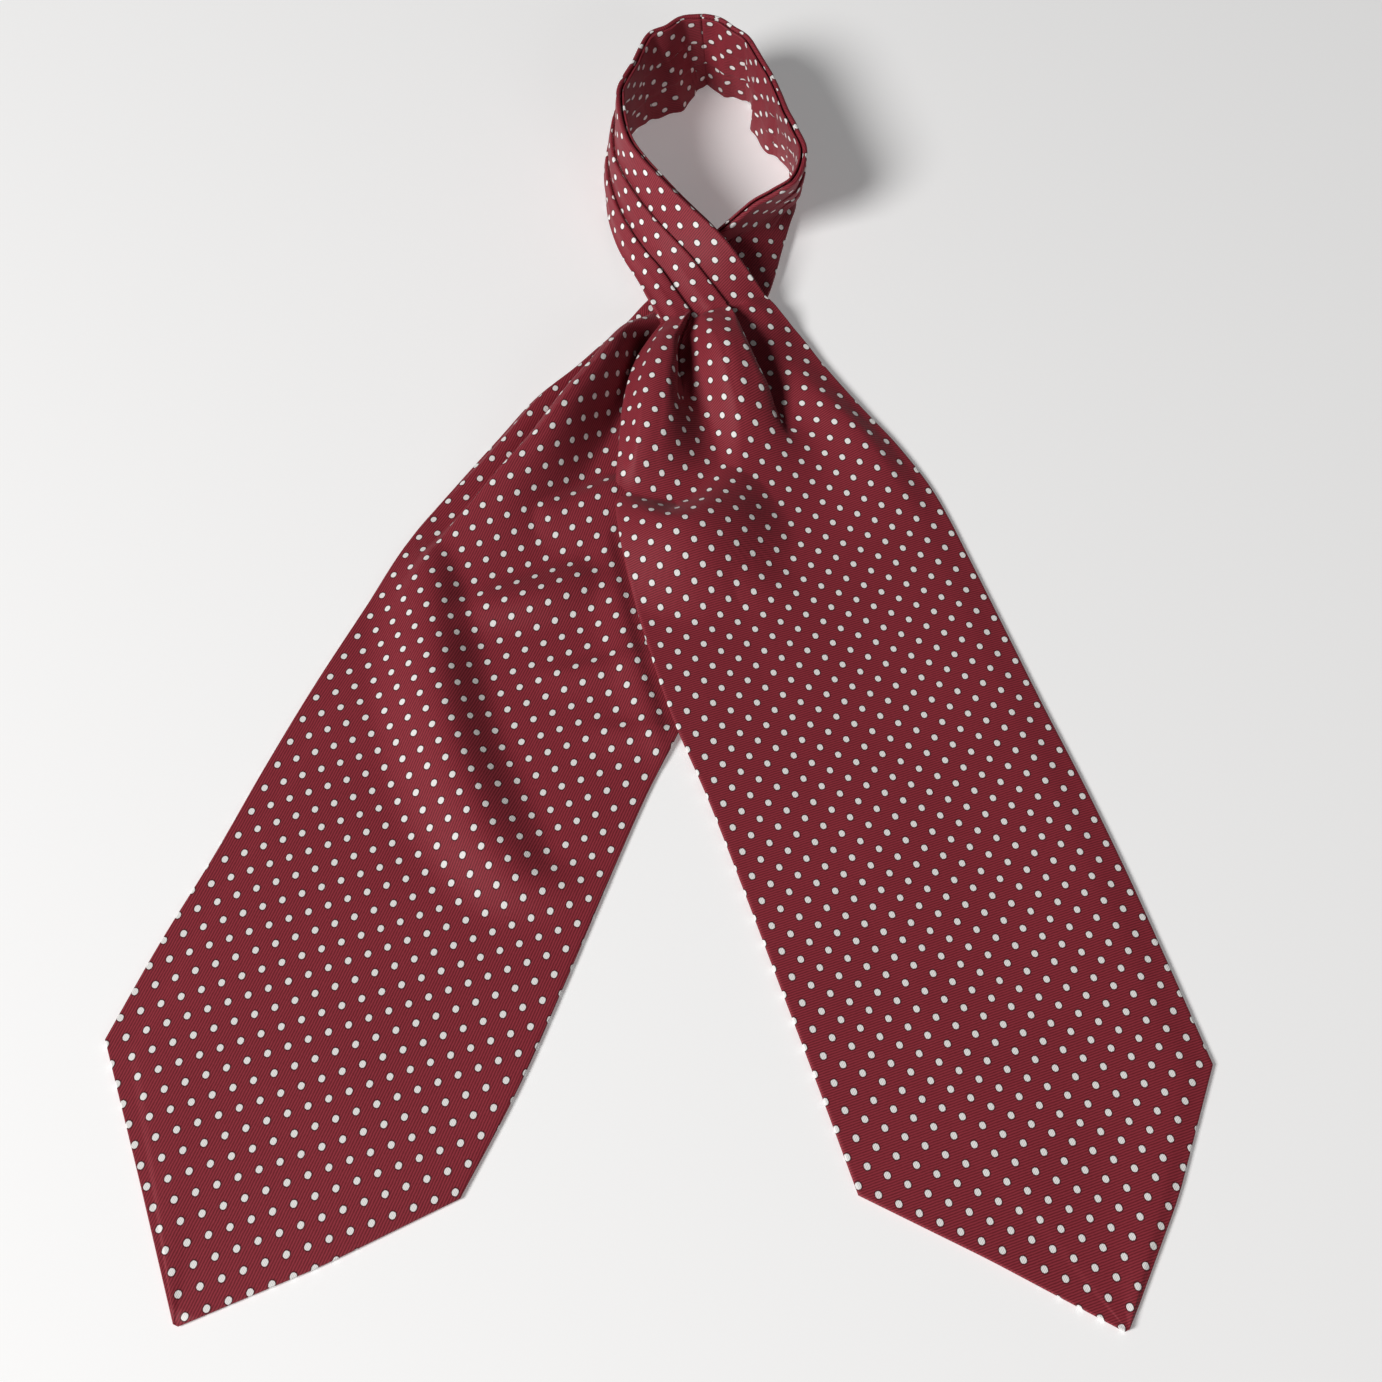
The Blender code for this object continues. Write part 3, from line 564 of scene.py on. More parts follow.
# %% [markdown]
# ## The blades' surface
#
# A blade's section is read from its fold rows. The rows are eased from one to the next,
# and the folds are given rounded crowns, because a flat-topped fold looks like card.

# %% Heights of a blade
TIP_HALF = 0.6          # half the width that is left at the very tip
CROWN = 0.035           # how much a fold's top is rounded, as a share of its height
ROUNDED_SPANS = (1, 4)  # the tops of the lobe and of the ridge


def blade_plan(edges, point, along):
    """Left and right edge for each row, down to the tip."""
    knots, values = knots_and_values(edges)
    sides = spline(knots, values, np.minimum(along, 1.0))
    tip_knots, tip_values = knots_and_values(point)
    half = unit(tip_values[0, 2:] - tip_values[0, :2]) * TIP_HALF
    tip_values[-1, :2] -= half
    tip_values[-1, 2:] += half
    for i in np.nonzero(along > 1.0)[0]:
        sides[i] = [np.interp(along[i], tip_knots, tip_values[:, k]) for k in range(4)]
    return sides


def fold_sections(folds, along):
    """The fold row at each place along, from the table's rows."""
    knots, values = knots_and_values(folds)
    table = spline(knots, values, np.minimum(along, knots[-1]))
    return dict(zip(FoldRow._fields[1:], table.T))


def section_heights(section, across, crown):
    """Heights at the places across, one row of places for each section."""
    zero = np.zeros(len(across))
    places = np.stack([zero] + [section[name] for name in (
        "lobe_from", "lobe_to", "hollow_at", "ridge_from", "ridge_to", "valley_at",
        "flank_at")] + [zero + 1.0], axis=1)
    heights = np.stack([section[name] for name in (
        "left_edge", "lobe_high", "lobe_high", "hollow_high", "ridge_high", "ridge_high",
        "valley_high", "flank_high", "right_edge")], axis=1)
    result = np.empty(across.shape)
    for r in range(len(across)):
        i = np.clip(np.searchsorted(places[r], across[r]) - 1, 0, places.shape[1] - 2)
        t = (across[r] - places[r, i]) / (places[r, i + 1] - places[r, i])
        result[r] = heights[r, i] + (heights[r, i + 1] - heights[r, i]) * ease(t)
        rounded = np.isin(i, ROUNDED_SPANS)
        result[r] += rounded * crown * heights[r, i] * np.sin(np.pi * np.clip(t, 0, 1))
    return result


# %% Crests with one steep side
CrestRow = namedtuple("CrestRow", "along across high steep soft")

# Where the hollows end, the cloth rises in a short steep slope and runs out softly towards
# the points. The line runs so that the steep side is on its left.
FRONT_CRESTS = [rows_of(CrestRow, crest) for crest in ([
    (0.238, 0.000, 1.0, 9.0, 16.0),
    (0.270, 0.060, 8.0, 18.0, 32.0),
    (0.300, 0.140, 12.6, 24.0, 46.0),
    (0.308, 0.220, 13.6, 25.0, 50.0),
    (0.294, 0.305, 11.4, 23.0, 44.0),
    (0.264, 0.365, 5.6, 17.0, 30.0),
    (0.226, 0.400, 0.6, 9.0, 16.0),
], [
    (0.315, 0.170, 0.2, 18.0, 16.0),
    (0.345, 0.270, 1.8, 22.0, 20.0),
    (0.380, 0.360, 2.2, 24.0, 22.0),
    (0.415, 0.450, 0.2, 18.0, 18.0),
])]
REAR_CRESTS = [rows_of(CrestRow, crest) for crest in ([
    (0.345, 0.300, 0.4, 14.0, 18.0),
    (0.330, 0.370, 3.8, 14.0, 26.0),
    (0.310, 0.440, 5.0, 14.0, 30.0),
    (0.290, 0.490, 5.2, 12.0, 30.0),
    (0.272, 0.550, 4.6, 11.0, 28.0),
    (0.260, 0.700, 1.6, 9.0, 18.0),
], [
    (0.480, 0.240, 0.3, 8.0, 16.0),
    (0.458, 0.340, 4.4, 17.0, 16.0),
    (0.430, 0.480, 5.8, 20.0, 16.0),
    (0.400, 0.570, 4.4, 17.0, 16.0),
    (0.375, 0.640, 0.3, 8.0, 14.0),
], [
    (0.512, 0.540, 0.2, 5.0, 14.0),
    (0.500, 0.650, 1.8, 7.0, 16.0),
    (0.478, 0.750, 2.4, 7.0, 16.0),
    (0.456, 0.850, 2.0, 7.0, 14.0),
    (0.440, 0.930, 0.8, 6.0, 10.0),
], [
    (0.556, 0.760, 0.2, 5.0, 14.0),
    (0.547, 0.840, 1.6, 6.0, 16.0),
    (0.538, 0.920, 2.0, 6.0, 16.0),
    (0.530, 0.990, 1.6, 6.0, 14.0),
], [
    (0.395, 0.055, 0.8, 12.0, 18.0),
    (0.441, 0.130, 5.4, 17.0, 26.0),
    (0.490, 0.206, 7.6, 21.0, 30.0),
    (0.556, 0.320, 8.4, 23.0, 32.0),
    (0.616, 0.445, 8.4, 24.0, 32.0),
    (0.661, 0.560, 7.8, 25.0, 32.0),
    (0.697, 0.665, 6.8, 25.0, 28.0),
    (0.718, 0.765, 4.8, 22.0, 24.0),
    (0.718, 0.860, 2.4, 16.0, 18.0),
    (0.702, 0.950, 0.4, 10.0, 12.0),
], [
    (0.310, 0.550, 0.2, 4.0, 10.0),
    (0.361, 0.630, 1.6, 5.0, 14.0),
    (0.451, 0.778, 2.4, 5.5, 16.0),
    (0.506, 0.880, 2.4, 5.5, 16.0),
    (0.537, 0.950, 1.8, 5.0, 12.0),
    (0.560, 1.000, 0.6, 4.0, 8.0),
])]


CREST_PIECES = 8        # straight pieces for each row of a crest


def crest_heights(crest, grid, plan_at):
    """A raised line, falling steeply on its left and softly on its right."""
    flat = grid.reshape(-1, 2)
    share = np.linspace(0, 1, len(crest))
    fine = np.linspace(0, 1, CREST_PIECES * len(crest))
    line = spline(share, [plan_at(row.along, row.across) for row in crest], fine)
    rows = spline(share, [[row.high, row.steep, row.soft] for row in crest], fine)
    height = np.zeros(len(flat))
    nearest = np.full(len(flat), np.inf)
    for i in range(len(line) - 1):
        step = line[i + 1] - line[i]
        offset = flat - line[i]
        t = np.clip((offset @ step) / (step @ step), 0.0, 1.0)
        away = offset - t[:, None] * step
        near = np.linalg.norm(away, axis=1)
        side = step[0] * offset[:, 1] - step[1] * offset[:, 0]
        high, steep, soft = (rows[i] + (rows[i + 1] - rows[i]) * t[:, None]).T
        value = high * ease(1.0 - near / np.where(side > 0, steep, soft))
        closer = near < nearest
        height = np.where(closer, value, height)
        nearest = np.minimum(near, nearest)
    return height.reshape(grid.shape[:2])


# %% Coarse nets of the blades
PleatRow = namedtuple("PleatRow", "start end ramp_from ramp_to high")

# Shares of the band's height: where each pleat begins and ends, and between which places
# it climbs to its full height, in millimetres. The lower pleat comes first.
LEFT_PLEATS = rows_of(PleatRow, [
    (0.00, 0.27, 0.02, 0.15, 1.4),
    (0.18, 0.61, 0.29, 0.47, 1.4),
    (0.52, 1.00, 0.63, 0.90, 0.5),
])
RIGHT_PLEATS = rows_of(PleatRow, [
    (0.00, 0.38, 0.05, 0.24, 1.4),
    (0.29, 0.70, 0.40, 0.56, 1.4),
    (0.61, 1.00, 0.72, 0.92, 0.5),
])
PLEAT_LOW = -0.2
PLEAT_WALL = 1.1
FOLD_WALL = 1.5
MEET_LENGTH = 22.0


def pleat_face(row, across):
    """How far out one pleat's outer face stands."""
    share = ease((across - row.ramp_from) / (row.ramp_to - row.ramp_from))
    wall = PLEAT_WALL + (FOLD_WALL - PLEAT_WALL) * share
    return PLEAT_LOW + (row.high - PLEAT_LOW) * share + wall


def coarse_blade(edges, folds):
    """A blade's middle surface on the coarse net, before it is lifted."""
    sides = spline(*knots_and_values(edges), coarse_rows)
    share = coarse_columns[None, :, None]
    plan = sides[:, None, :2] * (1 - share) + sides[:, None, 2:] * share
    across = np.repeat(coarse_columns[None, :], len(coarse_rows), axis=0)
    height = section_heights(fold_sections(folds, coarse_rows), across, 0.0)
    return np.concatenate([plan, height[:, :, None] + BLADE_WALL / 2], axis=2)


def meet_lift(grid, end_heights, pleats, low_edge_first):
    """Lift of a blade's first rows up to the faces of the pleats."""
    columns = coarse_columns if low_edge_first else 1.0 - coarse_columns
    faces = np.zeros(len(columns))
    for row in pleats:
        inside = (columns >= row.start) & (columns <= row.end)
        faces = np.where(inside, np.maximum(faces, pleat_face(row, columns)), faces)
    start = np.interp(columns, base_across, end_heights) + faces - BLADE_WALL / 2
    away = np.linalg.norm(grid[:, :, :2] - grid[:1, :, :2], axis=2)
    return np.maximum(start[None, :] - grid[:, :, 2], 0.0) * (1.0 - ease(away / MEET_LENGTH))


# %% [markdown]
# ## From rows to a strip of cloth
#
# One strip is the outer side of half the neckband and the blade that it runs into. It is
# made as one continuous cloth, because the real one has no seam where the pleats open:
# the fold edges simply run on into the blade's folds.

# %% Places of the two fold edges along each strip
EdgeRow = namedtuple(
    "EdgeRow", "at first_from first_to first_crisp second_from second_to second_crisp")

# at is the share along the blade, as in its own tables; the other places are shares of the
# width, and crisp is 1 for a fold edge and 0 for an even slope.
FRONT_FOLD_EDGES = rows_of(EdgeRow, [
    (0.000, 0.245, 0.300, 1.00, 0.590, 0.645, 1.00),
    (0.040, 0.195, 0.245, 1.00, 0.585, 0.650, 1.00),
    (0.090, 0.190, 0.265, 0.90, 0.580, 0.660, 1.00),
    (0.140, 0.180, 0.290, 0.25, 0.580, 0.685, 1.00),
    (0.180, 0.200, 0.290, 0.00, 0.560, 0.710, 0.60),
    (0.230, 0.200, 0.290, 0.00, 0.580, 0.725, 0.00),
    (0.300, 0.200, 0.290, 0.00, 0.500, 0.680, 0.00),
    (1.200, 0.200, 0.290, 0.00, 0.500, 0.680, 0.00),
])
# The rear strip is read from its right edge, so here the shares count from the right.
REAR_FOLD_EDGES = rows_of(EdgeRow, [
    (0.000, 0.330, 0.430, 0.00, 0.820, 0.900, 0.00),
    (0.050, 0.380, 0.430, 0.00, 0.860, 0.920, 1.00),
    (0.110, 0.400, 0.460, 0.00, 0.830, 0.885, 1.00),
    (0.160, 0.400, 0.460, 0.00, 0.800, 0.850, 1.00),
    (0.210, 0.400, 0.460, 0.00, 0.800, 0.855, 0.90),
    (0.260, 0.400, 0.460, 0.00, 0.820, 0.875, 0.70),
    (0.310, 0.400, 0.460, 0.00, 0.850, 0.900, 0.30),
    (0.360, 0.400, 0.460, 0.00, 0.870, 0.920, 0.00),
    (1.200, 0.400, 0.460, 0.00, 0.870, 0.920, 0.00),
])
NOSE_BEFORE = 1.5       # on the band, millimetres from an edge's start to the fold
NOSE_AFTER = 0.5
OPEN_ROWS = (28, 31)    # rows of the band between which the right pleats open out
OPEN_SPREAD = 0.05
OPEN_BASE = 2.0         # millimetres that the opened pleats stand out at their edges,
OPEN_HIGH = 2.8         # and how much further in the middle
SLIDE_ROW = 34          # row from which the right middle pleat's edge moves to the rim


def edge_rows(table, along):
    """The (start, end, crisp) of both fold edges at each place along a blade."""
    read = spline(*knots_and_values(table), along).T
    for crisp in (2, 5):
        read[crisp] = np.clip(read[crisp], 0.0, 1.0)
    return tuple(read[:3]), tuple(read[3:])


def band_edges(ends, widths, before, after):
    """Crisp fold edges on the band, round the places where two pleats end."""
    return [(end - before / widths, end + after / widths, np.ones(len(widths)))
            for end in ends]


def pleated_profile(pleats):
    """The outer faces of the three pleats as one profile across the band."""
    def profile(across):
        height = pleat_face(pleats[2], across)
        for row in (pleats[1], pleats[0]):
            height = np.where(across <= row.end, pleat_face(row, across), height)
        return height
    return profile


# %% Half the band, from the centre back to the crossing
BAND_ROWS = 110
UNDER_STEPS = 44
UNDER_FACE = -0.2

StripRow = namedtuple("StripRow", "edges point folds pleats fold_edges crests")
STRIPS = {
    "left": StripRow(FRONT_EDGES, FRONT_POINT, FRONT_FOLDS, LEFT_PLEATS, FRONT_FOLD_EDGES,
                     FRONT_CRESTS),
    "right": StripRow(REAR_EDGES, REAR_POINT, REAR_FOLDS, RIGHT_PLEATS, REAR_FOLD_EDGES,
                      REAR_CRESTS),
}


def half_band(side):
    """Stations, middle surface, outward normals and the section's length at each station."""
    left = side == "left"
    stations = np.linspace(centre_back, 0.0 if left else band_length, BAND_ROWS)
    base = band_base(stations, base_across)
    if left:
        lift = spline(coarse_stations, band_lift, stations)
        for i in range(BAND_ROWS):
            base[i, :, 2] += np.interp(base_across, coarse_lines, lift[i])
    normals = surface_normals(base) * (1.0 if left else -1.0)
    upright_at_end(base, normals, -1)
    widths = np.linalg.norm(np.diff(base, axis=1), axis=2).sum(axis=1)
    return stations, base, normals, widths


def standing_out(base, normals, place, out):
    """Points at the places across that stand out from the middle surface."""
    return look_up(base, place) + look_up(normals, place) * out


def even_places(rows):
    return np.repeat(np.linspace(0, 1, UNDER_STEPS)[None, :], rows, axis=0)


def band_strip(side):
    """Top and underside of half the band, and how crisp its two fold edges are."""
    strip = STRIPS[side]
    stations, base, normals, widths = half_band(side)
    ends = [row.end for row in strip.pleats[:2]]
    first, second = band_edges(ends, widths, NOSE_BEFORE, NOSE_AFTER)
    if side == "right":
        # under the crossing the middle pleat's edge moves over to the rim
        slide = ease((stations - band_knots[SLIDE_ROW]) / (band_length - band_knots[SLIDE_ROW]))
        goal = edge_rows(strip.fold_edges, np.zeros(1))[1]
        # at the front the pleats open out into one soft lobe
        from_row, to_row = band_knots[list(OPEN_ROWS)]
        soft = ease((stations - from_row) / (to_row - from_row))
        spread = OPEN_SPREAD * soft
        first = (first[0] - spread, first[1] + spread, 1.0 - soft)
        spread = spread * (1 - slide)
        second = (second[0] * (1 - slide) + goal[0] * slide - spread,
                  second[1] * (1 - slide) + goal[1] * slide + spread, 1.0 - soft)
    place, kind, drop = strip_columns(first, second)
    out = with_edges(pleated_profile(strip.pleats), place, kind, drop, first, second)
    if side == "right":
        lobe = OPEN_BASE + OPEN_HIGH * np.sin(math.pi * place) * (1 - slide[:, None])
        out += (lobe - out) * soft[:, None]
    top = standing_out(base, normals, place, out[:, :, None])
    under = standing_out(base, normals, even_places(BAND_ROWS), UNDER_FACE)
    return top, under, np.stack([first[2], second[2]]), base[-1, :, 2]


print("half the band has", BAND_ROWS, "rows for each of", sorted(STRIPS))

# %% Rows and small forms of a blade
FOLD_ROWS = 130
FLAT_ROWS = 83
TIP_ROWS = 13
TIP_END = 1.2
SHELL = 1.3             # from the top surface to the underside, in millimetres
CREASE_HIDDEN = 0.35    # share of a fold's own height that hides a crest
JOIN_LENGTH = 12.0      # over which the band's section gives way to the blade's

# The front blade's left edge curls under its lobe: how far its lower rim hangs down.
CurlRow = namedtuple("CurlRow", "along drop")
CURL = rows_of(CurlRow, [
    (0.00, 0.5), (0.04, 4.5), (0.09, 6.0), (0.14, 5.4), (0.19, 3.9), (0.23, 2.9), (0.26, 1.4),
    (0.30, 0.4),
])
CURL_WIDTH = 0.07

# A short crease across the crossing, where the pleats' stitching pulls the cloth in. It
# comes and goes between these shares of the width.
CROSS_DEPTH = 1.3
CROSS_AT = 1.6
CROSS_WIDTH = 1.7
CROSS_FROM = (0.30, 0.38)
CROSS_TO = (0.74, 0.84)

blade_rows = np.append(two_spacings(FOLD_END, FOLD_ROWS, FLAT_ROWS),
                       np.linspace(1.0, TIP_END, TIP_ROWS + 1)[1:])


def ramp(value, between):
    """0 before the first of two places, 1 after the second."""
    return ease((value - between[0]) / (between[1] - between[0]))


print("a blade has", len(blade_rows), "rows")


# %% Plan and heights of a blade
class Blade:
    """Plan and heights of one blade, at any places across its rows."""

    def __init__(self, side, end_heights):
        self.left = side == "left"
        self.strip = strip = STRIPS[side]
        self.section = fold_sections(strip.folds, blade_rows)
        self.sides = blade_plan(strip.edges, strip.point, blade_rows)
        if not self.left:
            self.sides = self.sides[:, [2, 3, 0, 1]]
        coarse = coarse_blade(strip.edges, strip.folds)
        over = np.zeros(coarse.shape[:2])
        if self.left:
            over = lift_over(coarse, right_tree, BLADE_CLEAR, len(coarse_rows))
        coarse[:, :, 2] += over
        lifts = over + meet_lift(coarse, end_heights, strip.pleats, self.left)
        lifts = np.concatenate([lifts, np.zeros((1, lifts.shape[1]))])
        self.lifts = spline(np.append(coarse_rows, TIP_END), lifts, blade_rows)

    def table_side(self, across):
        """The tables read both blades from the left, but the rear strip runs from the right."""
        return np.clip(across if self.left else 1.0 - across, 0.0, 1.0)

    def folds_at(self, across):
        places = self.table_side(across) + np.zeros((len(blade_rows), 1))
        return section_heights(self.section, places, CROWN)

    def lift_at(self, across):
        places = self.table_side(across)
        return np.array([np.interp(places[i], coarse_columns, self.lifts[i])
                         for i in range(len(blade_rows))])

    def plan_of(self, across):
        share = across[:, :, None]
        return self.sides[:, None, :2] * (1 - share) + self.sides[:, None, 2:] * share

    def plan_at(self, along, across):
        row = blade_plan(self.strip.edges, self.strip.point, np.array([along]))[0]
        return row[:2] * (1 - across) + row[2:] * across

    def creased(self, high, plan):
        """The heights with the crests that stand out of them."""
        for crest in self.strip.crests:
            more = crest_heights(crest, plan, self.plan_at) - CREASE_HIDDEN * high
            high = high + np.maximum(more, 0.0)
        return high

    def joined(self, high, plan, goal):
        """Over a short length the first row takes the height that it has on the band."""
        away = np.linalg.norm(plan - plan[:1], axis=2)
        share = 1.0 - ease(away / JOIN_LENGTH)
        return high + (goal - high[0])[None, :] * share, away, share


# %% Band and blade as one strip
def blade_strip(side, band_top, band_under, end_heights):
    """Top and underside of a blade, and what the unfolding has to know of it."""
    blade = Blade(side, end_heights)
    first, second = edge_rows(blade.strip.fold_edges, blade_rows)
    place, kind, drop = strip_columns(first, second)
    plan = blade.plan_of(place)
    high = with_edges(blade.folds_at, place, kind, drop, first, second) + blade.lift_at(place)
    high = blade.creased(high, plan) + BLADE_WALL
    high, away, share = blade.joined(high, plan, band_top[-1, :, 2])
    plan = plan + (band_top[-1, :, :2] - plan[0])[None] * share[:, :, None]
    if blade.left:
        inside = ramp(place, CROSS_FROM) * (1.0 - ramp(place, CROSS_TO))
        high -= CROSS_DEPTH * np.exp(-((away - CROSS_AT) / CROSS_WIDTH) ** 2) * inside
    top = np.dstack([plan, high])

    place = even_places(len(blade_rows))
    plan = blade.plan_of(place)
    high = blade.creased(blade.folds_at(place) + blade.lift_at(place), plan)
    if blade.left:
        curl = np.interp(blade_rows, column_of(CURL, "along"), column_of(CURL, "drop"))
        high -= curl[:, None] * (1.0 - ease(place / CURL_WIDTH))
    high = np.maximum(high + BLADE_WALL - SHELL, 0.0)
    high = blade.joined(high, plan, band_under[-1, :, 2])[0]
    under = np.dstack([plan, np.maximum(high, 0.0)])
    return top, under, kind, np.stack([first[2], second[2]])


def make_strip(side):
    """Top surface, underside and cloth coordinates of one strip, from the back to the tip."""
    band_top, band_under, band_crisp, end_heights = band_strip(side)
    blade_top, blade_under, kind, crisp = blade_strip(side, band_top, band_under, end_heights)
    top = np.concatenate([band_top, blade_top[1:]])
    under = np.concatenate([band_under, blade_under[1:]])
    crisp = np.concatenate([band_crisp, crisp[:, 1:]], axis=1)
    print(side, "strip", top.shape, "height mm", round(float(top[:, :, 2].max()), 1))
    return top, under, blade_cloth(side, top, kind, crisp)


# %% [markdown]
# ## A closed shell
#
# The cloth has two sides and a rolled edge, so the top surface and the underside are
# joined round both edges by a small half round, and closed at the two ends.

# %% Sewing top and underside together
EDGE_STEPS = 3
EDGE_BULGE = 0.8        # of a full half round


def rolled_edge(start, end, outward):
    """Half round between two points, bulging outward, for every row."""
    middle = (start + end) / 2
    half = (start - end) / 2
    radius = np.linalg.norm(half, axis=1)[:, None]
    angles = [math.pi * k / (EDGE_STEPS + 1) for k in range(1, EDGE_STEPS + 1)]
    return np.stack([middle + half * math.cos(angle)
                     + outward * radius * math.sin(angle) * EDGE_BULGE
                     for angle in angles], axis=1)


def round_edge_cloth(edge, before, start, edge_points):
    """Cloth coordinates round a rolled edge, by the length of its steps."""
    steps = np.diff(np.concatenate([start, edge_points], axis=1), axis=1)
    run = np.cumsum(np.linalg.norm(steps, axis=2), axis=1)
    return edge[:, None] + unit(edge - before)[:, None] * run[:, :, None]


def shell_mesh(name, top, under, cloth):
    """Closed mesh with the cloth's own coordinates, in metres, as its UV map."""
    far = rolled_edge(top[:, -1], under[:, -1], unit(top[:, -1] - top[:, -2]))
    near = rolled_edge(under[:, 0], top[:, 0], unit(top[:, 0] - top[:, 1]))
    rings = np.concatenate([top, far, under[:, ::-1], near], axis=1)
    rings[:, :, 2] = np.maximum(rings[:, :, 2], 0.0)
    rows, count = rings.shape[:2]
    points = (rings + PART_SHIFT).reshape(-1, 3) * MM
    index = np.arange(rows * count).reshape(rows, count)
    after = np.roll(index, -1, axis=1)
    quads = np.stack([index[:-1], after[:-1], after[1:], index[1:]], axis=-1).reshape(-1, 4)
    data = bpy.data.meshes.new(name)
    data.from_pydata(points.tolist(), [],
                     quads.tolist() + [index[0, ::-1].tolist(), index[-1].tolist()])

    u_far = round_edge_cloth(cloth[:, -1], cloth[:, -2], top[:, -1:], far)
    u_near = round_edge_cloth(cloth[:, 0], cloth[:, 1], top[:, :1], near[:, ::-1])[:, ::-1]
    spread = np.linspace(1.0, 0.0, under.shape[1])[None, :, None]
    u_under = cloth[:, :1, :] * (1 - spread) + cloth[:, -1:, :] * spread
    flat = np.concatenate([cloth, u_far, u_under, u_near], axis=1).reshape(-1, 2) * MM
    layer = data.uv_layers.new(name="cloth")
    loops = np.empty(len(data.loops), int)
    data.loops.foreach_get("vertex_index", loops)
    layer.data.foreach_set("uv", flat[loops].ravel())

    mesh = bmesh.new()
    mesh.from_mesh(data)
    bmesh.ops.triangulate(mesh, faces=[f for f in mesh.faces if len(f.verts) > 4])
    bmesh.ops.recalc_face_normals(mesh, faces=mesh.faces)
    mesh.to_mesh(data)
    mesh.free()
    data.shade_smooth()
    item = bpy.data.objects.new(name, data)
    bpy.context.scene.collection.objects.link(item)
    print(name, "faces", len(data.polygons))
    return item


print("lines round a rolled edge", EDGE_STEPS)

# %% [markdown]
# ## Where each thread lies
#
# The dots are woven in rows, so they have to follow the cloth and not the camera. The
# cloth is therefore unfolded: every small step over the surface asks for a step of the
# same length on the flat cloth, the flat part of a blade keeps its measured rows of dots,
# and the least squares answer is found for all points at once. At a crisp fold edge the
# cloth that is hidden in the pleat is left out, so a row of dots breaks off there.

# %% The rows of dots on the flat part of each blade
ClothRow = namedtuple(
    "ClothRow", "dot_x dot_y right_x right_y left_x left_y flat_from twist twist_from twist_to")

# A dot's place on the table, the steps to its neighbours down right and down left, in
# millimetres, and the share along the blade from which the cloth lies flat. The last three
# say how many degrees the gathering at the crossing turns the band's cloth, and between
# which places; a place below 0 is on the band, with -1 at the centre back.
CLOTH = {
    "left": ClothRow(97.75, -30.92, 7.38, -3.43, -3.64, -7.38, 0.42, 23.0, 0.0, 0.30),
    "right": ClothRow(-152.5, -38.42, 3.31, -7.95, -7.53, -2.89, 0.62, -34.0, -0.34, 0.04),
}
DOT_STEP = 8.3          # from a dot to its neighbour


def flat_cloth(side, offsets):
    """Cloth steps across and along for steps on the table."""
    row = CLOTH[side]
    net = np.linalg.inv(np.array([[row.right_x, row.left_x], [row.right_y, row.left_y]]))
    counts = offsets @ net.T
    return np.stack([counts[..., 0] - counts[..., 1], counts[..., 0] + counts[..., 1]],
                    axis=-1) * DOT_STEP / math.sqrt(2)


print("dot step mm", DOT_STEP, "cloth for", sorted(CLOTH))

# %% Least squares over a grid
def guess(want_across, want_along):
    """A first guess: along the middle column, then across each row."""
    middle = want_across.shape[1] // 2
    start = np.zeros((want_across.shape[0], want_along.shape[1], want_across.shape[2]))
    start[1:, middle] = np.cumsum(want_along[:, middle], axis=0)
    start[:] = start[:, middle:middle + 1]
    start[:, middle + 1:] += np.cumsum(want_across[:, middle:], axis=1)
    start[:, :middle] -= np.cumsum(want_across[:, :middle][:, ::-1], axis=1)[:, ::-1]
    return start


def best_values(want_across, want_along, across_weight, along_weight, fixed, known, passes):
    """Values whose steps over the grid come nearest to the wanted ones.

    Where fixed is set the known values stay. The rest is found by conjugate gradients."""
    free = ~fixed[:, :, None]
    wa, wl = across_weight[:, :, None], along_weight[:, :, None]
    values = guess(want_across, want_along)
    anchor = tuple(np.argwhere(fixed)[0])
    values = np.where(free, values + (known[anchor] - values[anchor]), known)

    def gathered(step_across, step_along):
        total = np.zeros(values.shape)
        total[:, 1:] += step_across
        total[:, :-1] -= step_across
        total[1:] += step_along
        total[:-1] -= step_along
        return total * free

    def pull(of):
        return gathered(wa * np.diff(of, axis=1), wl * np.diff(of, axis=0))

    scale = np.zeros(fixed.shape + (1,))
    scale[:, 1:] += wa
    scale[:, :-1] += wa
    scale[1:] += wl
    scale[:-1] += wl
    rest = gathered(wa * want_across, wl * want_along) - pull(values)
    step = rest / scale
    heading = step.copy()
    size = (rest * step).sum()
    for _ in range(passes):
        change = pull(heading)
        share = size / (heading * change).sum()
        values = values + share * heading
        rest = rest - share * change
        step = rest / scale
        new_size = (rest * step).sum()
        heading = step + heading * (new_size / size)
        size = new_size
    return values


# %% What each cell of the cloth says
CRISP_CUT = 0.35        # an edge crisper than this hides cloth
LEAST_STEP = 0.05       # millimetres; shorter steps count as this long


def halfway(values, axis=0):
    """Means of neighbours."""
    values = np.swapaxes(values, 0, axis)
    return np.swapaxes((values[1:] + values[:-1]) / 2, 0, axis)


def angle_of(step):
    return np.arctan2(step[..., 1], step[..., 0])


def wrapped(angle):
    return (angle + math.pi) % (2 * math.pi) - math.pi


def rotate(step, angle):
    cos, sin = np.cos(angle), np.sin(angle)
    return np.stack([step[..., 0] * cos - step[..., 1] * sin,
                     step[..., 0] * sin + step[..., 1] * cos], axis=-1)


def cell_sides(across, along, sign):
    """The four sides of each cell in its own plane: back, front, near and far."""
    sideways = unit(halfway(across))
    forward = halfway(along, 1)
    forward = unit(forward - (forward * sideways).sum(axis=2)[:, :, None] * sideways)

    def inside(steps):
        return np.stack([(steps * sideways).sum(axis=2) * sign,
                         (steps * forward).sum(axis=2)], axis=-1)

    return [inside(steps) for steps in (across[:-1], across[1:], along[:, :-1], along[:, 1:])]


